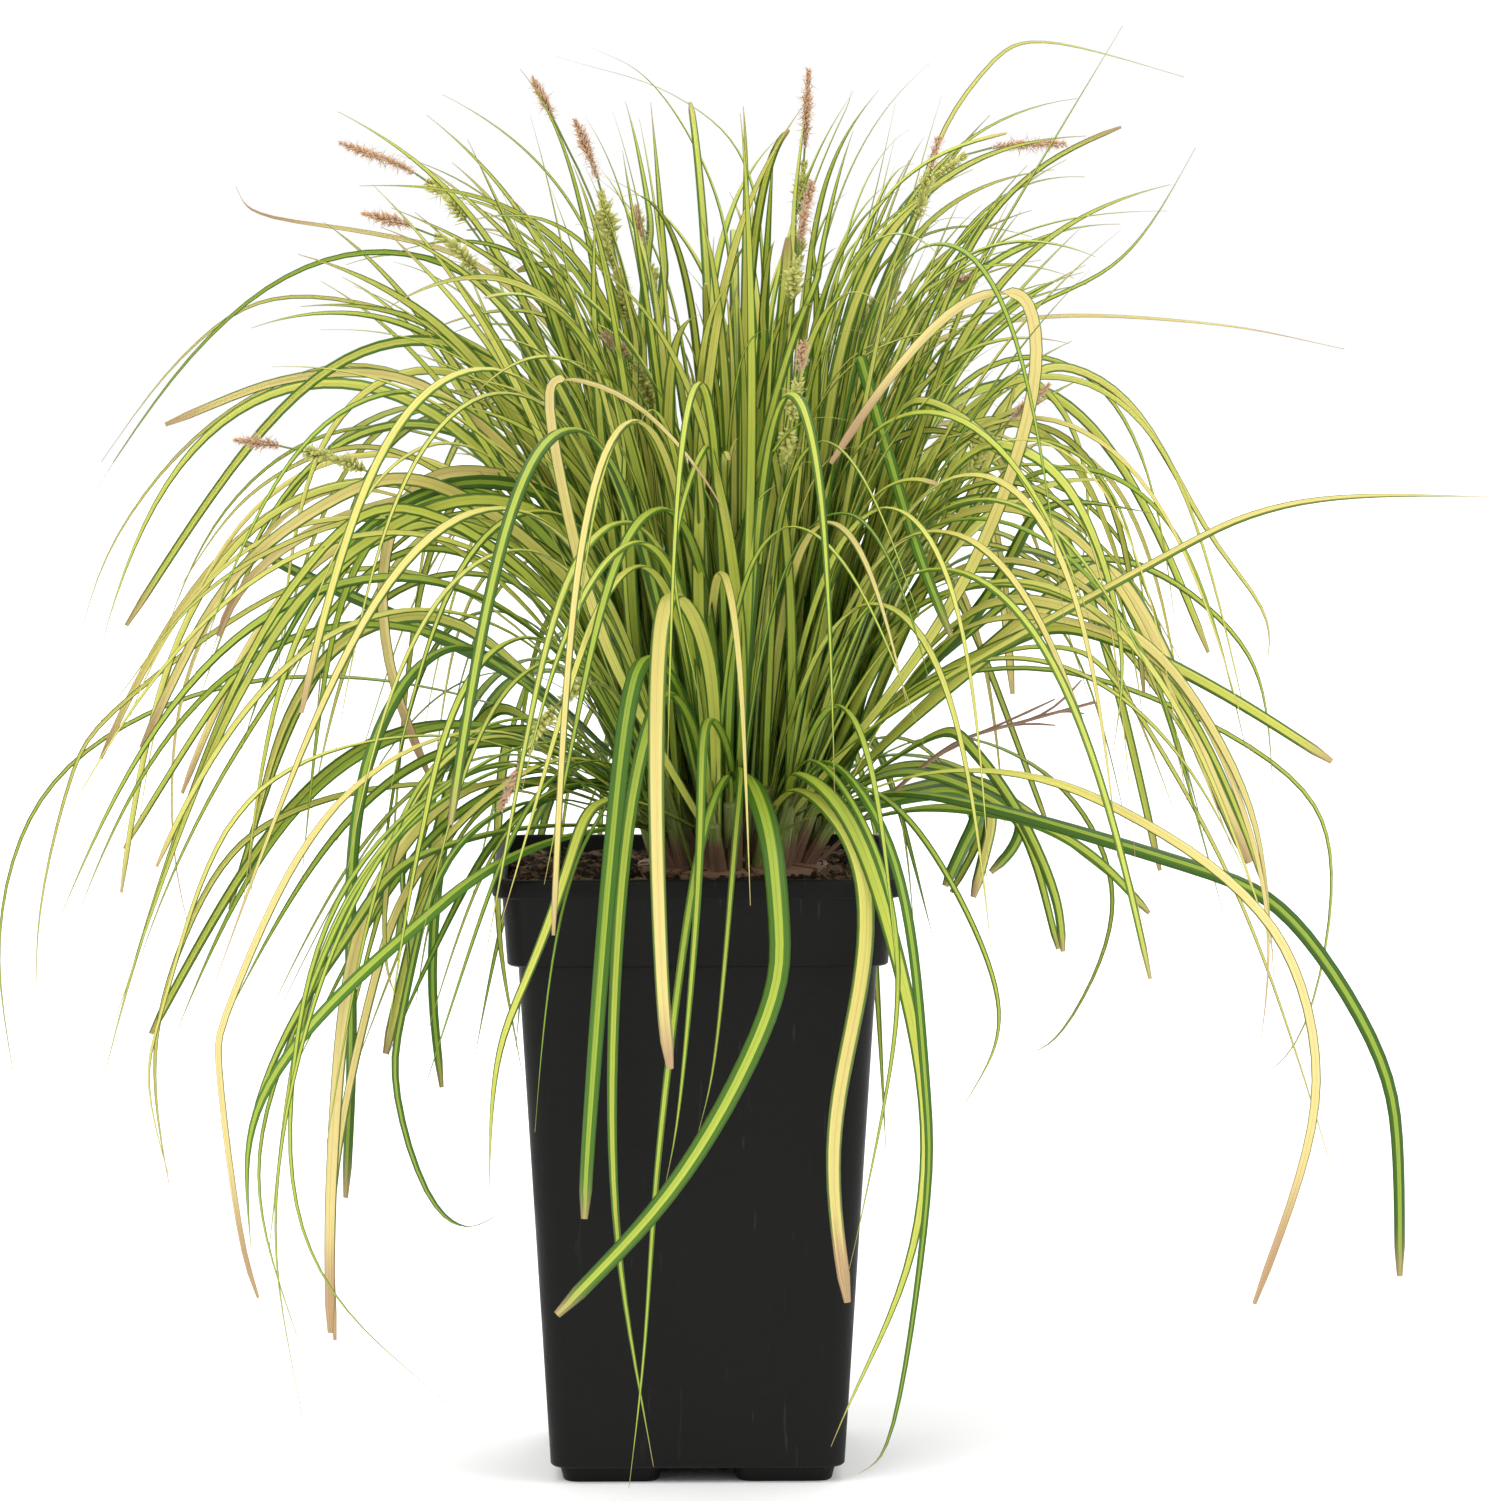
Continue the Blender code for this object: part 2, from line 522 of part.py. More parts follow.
def is_free(points, lowest):
    """Whether a leaf clears the pot, hangs no lower than its tuft and stays in the plant's outline."""
    keep_off = RIM_HALF + RIM_CLEARANCE
    for a, b in zip(points, points[1:]):
        for share in (0.25, 0.5, 0.75, 1.0):
            p = a.lerp(b, share)
            if not lowest < p.z < TALLEST_LEAF or not LEFT_REACH < p.x < RIGHT_REACH:
                return False
            if abs(p.y) > DEPTH_REACH:
                return False
            over_pot = abs(p.x) < keep_off and abs(p.y) < keep_off
            from_crown = math.hypot(p.x - CROWN_X, p.y)
            if over_pot and from_crown > CROWN_RADIUS and p.z < POT_HEIGHT + RIM_CLEARANCE:
                return False
    return True


def lengths_of(path):
    run = [0.0]
    for a, b in zip(path, path[1:]):
        run.append(run[-1] + (b - a).length)
    return run


def place_at(path, run, distance):
    """The point and direction at a distance along a path."""
    i = 0
    while i < len(path) - 2 and run[i + 1] < distance:
        i += 1
    direction = (path[i + 1] - path[i]).normalized()
    return path[i] + direction * (distance - run[i]), direction


def beads(points, count=24):
    """Points spread along a leaf beyond its sheath, to measure how near it comes to another."""
    run = lengths_of(points)
    return [place_at(points, run, run[-1] * (0.14 + 0.86 * k / count))[0] for k in range(count + 1)]


def lies_apart(candidate, others):
    """Whether a leaf passes clear of every other leaf of its tuft."""
    for other in others:
        clear = 0.42 * (candidate["width"] + other["width"]) + 0.6
        for p in candidate["beads"]:
            if min((p - q).length_squared for q in other["beads"]) < clear * clear:
                return False
    return True


def shoots_of(sector, rng):
    """The shoots of a tuft: where each stands in the crown, how it leans and how long its sheath is."""
    low, high = sector
    shoots = []
    for i in range(SHOOTS_PER_TUFT):
        azimuth = low + (high - low) * (i + 0.5) / SHOOTS_PER_TUFT
        distance = 17.0 + 11.0 * ((i * 2) % SHOOTS_PER_TUFT) / (SHOOTS_PER_TUFT - 1)
        foot = kept_in_sector(crown_point(azimuth, distance, CROWN_TOP - 3.0), sector, 3.4)
        lean = rng.uniform(55.0, 78.0)
        length = rng.uniform(20.0, 38.0)
        heading = math.radians(azimuth)
        slope = math.radians(lean)
        axis = Vector(
            (math.cos(slope) * math.cos(heading), math.cos(slope) * math.sin(heading), math.sin(slope))
        )
        top = kept_in_sector(foot + axis * length, sector, 3.0)
        shoots.append({"foot": foot, "top": top, "azimuth": azimuth})
    return shoots


def random_leaf(rng):
    """The habit of one ordinary leaf: upright, arching or low."""
    kind = rng.random()
    if kind < 0.40:
        habit = (rng.uniform(76, 88), rng.uniform(-50, 20), rng.uniform(0.70, 0.95), rng.uniform(215, 320))
    elif kind < 0.82:
        habit = (rng.uniform(66, 82), rng.uniform(-86, -55), rng.uniform(0.42, 0.62), rng.uniform(300, 430))
    else:
        habit = (rng.uniform(42, 62), rng.uniform(-86, -60), rng.uniform(0.26, 0.42), rng.uniform(190, 330))
    rise, fall, arch, length = habit
    return {
        "rise": rise,
        "fall": fall,
        "arch": arch,
        "length": length,
        "span": rng.uniform(0.07, 0.16),
        "sweep": rng.uniform(-28, 28),
        "width": rng.uniform(2.6, 5.4),
        "end": "cut" if rng.random() < 0.22 else "fine",
        "turn": rng.uniform(-55, 55),
    }


def leaves_of(name):
    """Every leaf of a tuft, as its path in millimetres with its width, end and turn."""
    low, high, lowest = TUFTS[name]
    sector = (low, high)
    rng = random.Random(name)
    shoots = shoots_of(sector, rng)
    leaves = []
    for i, (width, end, turn, route) in enumerate(STANDING_OUT[name]):
        shoot = shoots[i % SHOOTS_PER_TUFT]
        start = shoot["foot"].lerp(shoot["top"], 0.55)
        path = smooth_through([start] + [Vector(p) for p in route], FINE_STEPS)
        path = [kept_in_sector(p, sector, width / 2 + 0.6) for p in path]
        leaves.append({"path": path, "width": width, "end": end, "turn": turn, "segments": STANDING_OUT_SEGMENTS})
    for leaf in leaves:
        leaf["beads"] = beads(leaf["path"])
    for _ in range(LEAF_TRIES):
        if len(leaves) == LEAVES_PER_TUFT:
            break
        shoot = shoots[rng.randrange(SHOOTS_PER_TUFT)]
        leaf = random_leaf(rng)
        azimuth = shoot["azimuth"] + rng.uniform(-14, 14)
        start = shoot["foot"].lerp(shoot["top"], rng.uniform(0.35, 0.8))
        path = arching(start, azimuth, leaf)
        path = [kept_in_sector(p, sector, leaf["width"] / 2 + 0.6) for p in path]
        leaf.update(path=path, segments=LEAF_SEGMENTS, beads=beads(path))
        if is_free(thinned(path, LEAF_SEGMENTS), lowest) and lies_apart(leaf, leaves):
            leaves.append(leaf)
    return shoots, leaves


def width_along(along, end):
    """Share of a leaf's full width: narrow at its sheath, widest below the middle, then tapering."""
    opening = min(1.0, 0.55 + 1.6 * along)
    if end == "cut":
        return opening * (1.0 - 0.35 * along ** 3)
    return opening * max(0.16, (1.0 - along ** 2.2))


def leaf_solid(leaf):
    """A keeled leaf: a flat three-sided section carried along its path, split alike above and below."""
    points = thinned(leaf["path"], leaf["segments"])
    heading = points[-1] - points[0]
    across = Vector((-heading.y, heading.x, 0.0)).normalized()
    bm = bmesh.new()
    rings = []
    for i, point in enumerate(points):
        along = i / (len(points) - 1)
        tangent = (points[min(i + 1, len(points) - 1)] - points[max(i - 1, 0)]).normalized()
        side = (across - across.dot(tangent) * tangent).normalized()
        side = Matrix.Rotation(math.radians(leaf["turn"]) * min(1.0, 2.5 * along), 3, tangent) @ side
        face = side.cross(tangent)
        half = 0.5 * max(1.3, leaf["width"] * width_along(along, leaf["end"]))
        deep = max(THINNEST, 0.36 * half)
        ring = [point - side * half, point + side * half, point - face * deep]
        rings.append([bm.verts.new(p * MM) for p in ring])
    for (a_left, a_right, a_keel), (b_left, b_right, b_keel) in zip(rings, rings[1:]):
        bm.faces.new((a_left, a_right, b_right))
        bm.faces.new((a_left, b_right, b_left))
        bm.faces.new((a_keel, a_left, b_keel))
        bm.faces.new((a_left, b_left, b_keel))
        bm.faces.new((a_right, a_keel, b_right))
        bm.faces.new((a_keel, b_keel, b_right))
    bm.faces.new(rings[0])
    bm.faces.new(rings[-1][::-1])
    bmesh.ops.recalc_face_normals(bm, faces=bm.faces)
    return bm


def sheath_solid(shoot):
    """The leaf sheaths at the foot of a shoot: a slim six-sided cone rooted in the crown."""
    axis = shoot["top"] - shoot["foot"]
    middle = (shoot["foot"] + shoot["top"]) / 2
    place = Matrix.Translation(middle * MM) @ axis.to_track_quat("Z", "Y").to_matrix().to_4x4()
    bm = bmesh.new()
    bmesh.ops.create_cone(
        bm,
        cap_ends=True,
        segments=6,
        radius1=3.3 * MM,
        radius2=2.3 * MM,
        depth=axis.length * MM,
        matrix=place,
    )
    return bm


def keep_largest_body(obj):
    """Drops loose scraps, and the inner skins of hollows that the fused leaves enclose."""
    bm = bmesh.new()
    bm.from_mesh(obj.data)
    left = set(bm.faces)
    bodies = []
    while left:
        body = set()
        edge = [left.pop()]
        while edge:
            face = edge.pop()
            body.add(face)
            near = {f for e in face.edges for f in e.link_faces} & left
            left -= near
            edge.extend(near)
        bodies.append(body)
    largest = max(bodies, key=len)
    extra = [face for body in bodies if body is not largest for face in body]
    bmesh.ops.delete(bm, geom=extra, context="FACES")
    bm.to_mesh(obj.data)
    bm.free()


def crown_slice(sector):
    """A tuft's share of the crown: a slice of a low round cake that stands in the soil's recess."""
    low, high = sector
    half = math.radians((high - low) / 2)
    floor = SOIL_EDGE_HEIGHT + SOIL_MOUND - RECESS_DEPTH + TOUCH_GAP
    most = math.degrees(half - math.asin(STEM_GAP / CROWN_RADIUS))
    middle = (low + high) / 2
    outline = [crown_point(middle, STEM_GAP / math.sin(half), floor)]
    for share in (-1.0, -0.5, 0.0, 0.5, 1.0):
        outline.append(crown_point(middle + most * share, CROWN_RADIUS, floor))
    bm = bmesh.new()
    face = bm.faces.new([bm.verts.new(p * MM) for p in outline])
    raised = bmesh.ops.extrude_face_region(bm, geom=[face])["geom"]
    for vert in (g for g in raised if isinstance(g, bmesh.types.BMVert)):
        out = math.hypot(vert.co.x / MM - CROWN_X, vert.co.y / MM) / CROWN_RADIUS
        vert.co.z = (CROWN_TOP - 3.0 * out) * MM
    bmesh.ops.recalc_face_normals(bm, faces=bm.faces)
    return bm


def make_tuft(name, parts):
    """One sector of the clump: crown slice, sheaths and leaves fused in one solid."""
    material = principled(name + "_leaf", LEAF_GREEN, 0.5)
    shoots, leaves = leaves_of(name)
    tuft = object_from(crown_slice(TUFTS[name][:2]), name, parts, material)
    growth = helper_collection(name + "_growth")
    for shoot in shoots:
        helper_from(sheath_solid(shoot), "sheath", growth)
    for leaf in leaves:
        helper_from(leaf_solid(leaf), "leaf", growth)
    combine(tuft, growth, "UNION", "MANIFOLD")
    keep_largest_body(tuft)
    return tuft


def tube(sections, sides):
    """A closed tube through sections of point, direction, radius and turn."""
    bm = bmesh.new()
    rings = []
    for point, direction, radius, turn in sections:
        place = direction.to_track_quat("Z", "Y").to_matrix()
        ring = []
        for k in range(sides):
            angle = 2 * math.pi * (k + turn) / sides
            spot = point + place @ Vector((math.cos(angle), math.sin(angle), 0.0)) * radius
            ring.append(bm.verts.new(spot * MM))
        rings.append(ring)
    for low, high in zip(rings, rings[1:]):
        for k in range(sides):
            after = (k + 1) % sides
            bm.faces.new((low[k], low[after], high[after]))
            bm.faces.new((low[k], high[after], high[k]))
    bm.faces.new(rings[0][::-1])
    bm.faces.new(rings[-1])
    bmesh.ops.recalc_face_normals(bm, faces=bm.faces)
    return bm


def stem_path(azimuth, route):
    return smooth_through([crown_point(azimuth, out, height) for out, height in route], FINE_STEPS)


def bumpy(share, row, radius):
    """Radius of a spike's row of grains: full in the middle, slim at its ends, with every other row deeper."""
    bulge = math.sin(math.pi * (0.12 + 0.80 * share)) ** 0.6
    return radius * bulge * (1.0 if row % 2 else 0.72)


def make_flower_stem(number, row, parts, materials):
    """A stem with its green spikes, and the brown spike that stands on its end as a piece of its own."""
    azimuth, route, brown_length, green_spikes = row
    path = stem_path(azimuth, route)
    run = lengths_of(path)
    stem_end = run[-1] - brown_length - TOUCH_GAP
    marks = {stem_end * k / CULM_SEGMENTS: CULM_RADIUS for k in range(CULM_SEGMENTS + 1)}
    for below, length in green_spikes:
        first = stem_end - below - length
        marks = {d: r for d, r in marks.items() if not first - 2.0 < d < first + length + 2.0}
        for k in range(SPIKE_ROWS + 1):
            share = k / SPIKE_ROWS
            marks[first + length * share] = max(CULM_RADIUS, bumpy(share, k, GREEN_SPIKE_RADIUS))
    sections = []
    for k, distance in enumerate(sorted(marks)):
        point, direction = place_at(path, run, distance)
        swollen = marks[distance] > CULM_RADIUS
        sections.append((point, direction, marks[distance], 0.5 * (k % 2) if swollen else 0.0))
    object_from(tube(sections, STEM_SIDES), f"flower_stem_{number:02d}", parts, materials[0])

    sections = []
    for k in range(SPIKE_ROWS + 1):
        share = k / SPIKE_ROWS
        point, direction = place_at(path, run, stem_end + TOUCH_GAP + brown_length * share)
        sections.append((point, direction, max(0.6, bumpy(share, k, BROWN_SPIKE_RADIUS)), 0.5 * (k % 2)))
    object_from(tube(sections, STEM_SIDES), f"male_spike_{number:02d}", parts, materials[1])


def make_dead_stem(parts):
    """Last year's dry stem, which leans out low on the right."""
    azimuth, route = DEAD_STEM
    path = stem_path(azimuth, route)
    run = lengths_of(path)
    sections = []
    for k in range(CULM_SEGMENTS + 1):
        point, direction = place_at(path, run, run[-1] * k / CULM_SEGMENTS)
        sections.append((point, direction, CULM_RADIUS, 0.0))
    object_from(tube(sections, STEM_SIDES), "dead_stem", parts, principled("dead_stem_brown", (0.2, 0.1, 0.05), 0.8))


def main():
    clear_scene()
    parts = new_collection(COLLECTION_NAME)
    make_pot(parts)
    make_soil(parts)
    for name in TUFTS:
        make_tuft(name, parts)
    flower_materials = (
        principled("flower_stem_green", (0.30, 0.34, 0.08), 0.55),
        principled("male_spike_rust", (0.50, 0.24, 0.12), 0.85),
    )
    for number, row in enumerate(FLOWER_STEMS, start=1):
        make_flower_stem(number, row, parts, flower_materials)
    make_dead_stem(parts)


main()
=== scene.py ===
"""The looks of a variegated sedge in flower and of the black nursery pot that it grows in.

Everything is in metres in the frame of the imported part, except paths and sizes in millimetres, which
are turned into metres where a mesh is made. X runs to the right, Y to the back and Z up.
"""

import json
import math
import random

import bmesh
import bpy
from bpy.props import FloatProperty, FloatVectorProperty, IntProperty, PointerProperty
from mathutils import Matrix, Vector, noise

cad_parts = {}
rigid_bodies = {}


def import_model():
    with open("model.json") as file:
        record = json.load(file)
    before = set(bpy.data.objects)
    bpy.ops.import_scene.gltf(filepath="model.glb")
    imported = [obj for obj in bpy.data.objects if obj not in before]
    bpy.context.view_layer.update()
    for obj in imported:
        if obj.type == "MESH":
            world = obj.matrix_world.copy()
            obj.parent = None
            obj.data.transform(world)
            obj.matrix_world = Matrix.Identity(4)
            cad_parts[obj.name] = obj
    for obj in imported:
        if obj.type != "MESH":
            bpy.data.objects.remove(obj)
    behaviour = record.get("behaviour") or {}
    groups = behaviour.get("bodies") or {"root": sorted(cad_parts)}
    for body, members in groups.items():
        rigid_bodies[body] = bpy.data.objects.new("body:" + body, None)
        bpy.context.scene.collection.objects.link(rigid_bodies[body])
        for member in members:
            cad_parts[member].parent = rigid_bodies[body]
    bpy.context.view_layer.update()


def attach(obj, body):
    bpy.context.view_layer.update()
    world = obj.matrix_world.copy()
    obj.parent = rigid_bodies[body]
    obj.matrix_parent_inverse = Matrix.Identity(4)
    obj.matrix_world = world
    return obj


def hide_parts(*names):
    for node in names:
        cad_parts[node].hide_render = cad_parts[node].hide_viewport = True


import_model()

bl_info = {
    "name": "Variegated sedge in its pot",
    "version": (1, 0, 0),
    "blender": (4, 5, 0),
    "location": "3D View > Sidebar > Sedge",
    "description": "Makes the leaves, flowers, soil and pot of a sedge round its packed frame",
    "category": "Object",
}

MM = 0.001

# Pot, in millimetres
RIM_HALF = 76.0
RIM_BOTTOM = 223.0
POT_HEIGHT = 230.0
COLLAR_HALF_TOP = 72.4
COLLAR_HALF_BOTTOM = 70.6
LEDGE_HEIGHT = 197.0
BODY_HALF_TOP = 66.6
BODY_HALF_BOTTOM = 55.2
FOOT_HEIGHT = 6.0
FOOT_WIDTH = 39.0
FOOT_TAPER = 1.5
FOOT_INSET = 3.2
FOOT_RADIUS = 6.0
FOOT_OVERLAP = 1.0
FLOOR_THICKNESS = 2.0
WALL = 1.4
CORNER_RADIUS = 9.0
RIM_CORNER_RADIUS = 11.0
CORNER_STEPS = 10
DRAIN_RADIUS = 4.5
DRAIN_SPREAD = 39.0
DRAIN_PLACES = ((0, 0), (1, 0), (-1, 0), (0, 1), (0, -1))
DRAIN_START = 1.0
DRAIN_OVERLAP = 5.0
SHARP_EDGE = 40.0

# Roundings of the pot's edges, in millimetres: under the ledge, under the rim and over the lip. A middle
# point is given by how far out and how far below the edge it lies.
EDGE_ROUNDING = 0.7
LEDGE_FILLET = 1.0
LEDGE_FILLET_MIDDLE = (0.4, 0.2)
RIM_FILLET = 0.6
RIM_FILLET_REACH = 0.5
LIP = 1.4
LIP_MIDDLE = (0.5, 0.4)
LIP_CORNER = 1.0
LIP_INSIDE = 0.6
LIP_INSIDE_FALL = 1.0

# Soil and crown, in millimetres. The noise of the crumbs is given by its roughness, the ratio from one
# size of crumb to the next and how many sizes there are.
SOIL_EDGE_HEIGHT = 224.5
SOIL_MOUND = 2.5
SOIL_SINK = 0.6
SOIL_SIDE_DROP = 3.0
SOIL_CORNER_ROOM = 2.0
CRUMB_HEIGHT = 1.7
CRUMB_FINENESS = 0.11
CRUMB_NOISE = (0.8, 2.1, 5)
CRUMB_PLANE = 3.0
LITTER_MARGIN = 7.0
CROWN_X = 14.0
CROWN_RADIUS = 36.0
CROWN_TOP = 230.5
CROWN_FALL = 3.0
CROWN_SINK = 10.0
CROWN_STEPS = 4

# Clump, in millimetres, and shares of a length, a width or a count of steps
STEM_GAP = 1.5
STEM_GAP_GROWTH = 0.012
AXIS_ROOM = 1.02
LEFT_REACH = -238.0
RIGHT_REACH = 218.0
DEPTH_REACH = 250.0
TALLEST_LEAF = 530.0
RIM_CLEARANCE = 4.0
SHOOTS_PER_TUFT = 5
SHOOT_NEAREST = 17.0
SHOOT_SPREAD = 11.0
SHOOT_LEANS = (55.0, 78.0)
SHOOT_ROOM = 3.4
SHOOT_TOP_ROOM = 3.0
SHEATH_LENGTHS = (20.0, 38.0)
SHEATH_RADII = (3.4, 2.1)
SHEATH_STEPS = 6
SHEATH_SIDES = 10
SHEATH_SHARE = 0.14
LEAVES_PER_TUFT = 20
LEAF_TRIES = 400
PART_START = 0.55
LEAF_SPACE = 0.6
LEAF_OVERLAP = 0.42
TAPER = 3.0
BEND_WEIGHT = 50.0
FINE_STEPS = 48
LEAST_STEPS = 4
EASINGS = 10
LEAF_SEGMENTS = 5
SECTOR_OVERLAP = 8.0
CUT_END = 0.55
TWIST_SHARE = 0.72
FREE_CHECKS = (0.25, 0.5, 0.75, 1.0)

# The habits of the ordinary leaves: upright, arching and low. Each has the draw that it is chosen up to,
# then ranges for its rise and fall in degrees, where along it bends over, and its length.
HABITS = [
    (0.40, (76, 88), (-50, 20), (0.70, 0.95), (215, 320)),
    (0.82, (66, 82), (-86, -55), (0.42, 0.62), (300, 430)),
    (1.00, (42, 62), (-86, -60), (0.26, 0.42), (190, 330)),
]
SPANS = (0.07, 0.16)
SWEEPS = (-28, 28)
WIDTHS = (2.6, 5.4)
TURNS = (-55, 55)
CUT_SHARE = 0.22
FAN = 14.0
STARTS = (0.35, 0.8)

# The leaves that only the scene has: those of the core stand almost straight, the outer ones keep their
# width and the fine ones are thin
CORE_HABIT = {
    "rise": (68, 89),
    "fall": (-40, 55),
    "arch": (0.75, 1.1),
    "length": (150, 300),
    "span": (0.10, 0.22),
    "sweep": (-90, 90),
    "width": (3.4, 6.6),
    "turn": (-60, 60),
}
OUTER_WIDTHS = (3.0, 5.4)
OUTER_LENGTHS = (0.8, 1.0)
FINE_WIDTHS = (1.2, 3.0)
FINE_LENGTHS = (0.7, 1.05)
ADDED_FAN = 22.0
ADDED_STARTS = (0.1, 0.9)

# Form of a blade: shares of its full width, its least half width in millimetres, and how soon along it
# its turn and its twist are complete
WIDTH_AT_SHEATH = 0.55
OPENING = 1.6
CUT_NARROWING = 0.35
NARROWEST = 0.03
NARROWEST_HALF = 0.10
TURN_PACE = 2.5
TWIST_PACE = 1.8

# Sector edges round the crown, in degrees anticlockwise from the right, and the lowest that the
# ordinary leaves of each tuft hang, in millimetres
TUFTS = {
    "tuft_front": (-125.0, -78.5, 205.0),
    "tuft_front_right": (-78.5, -31.0, 200.0),
    "tuft_right": (-31.0, 18.0, 200.0),
    "tuft_back_right": (18.0, 62.0, 170.0),
    "tuft_back": (62.0, 112.0, 90.0),
    "tuft_back_left": (112.0, 155.0, 130.0),
    "tuft_left": (155.0, 195.0, 140.0),
    "tuft_front_left": (195.0, 235.0, 110.0),
}

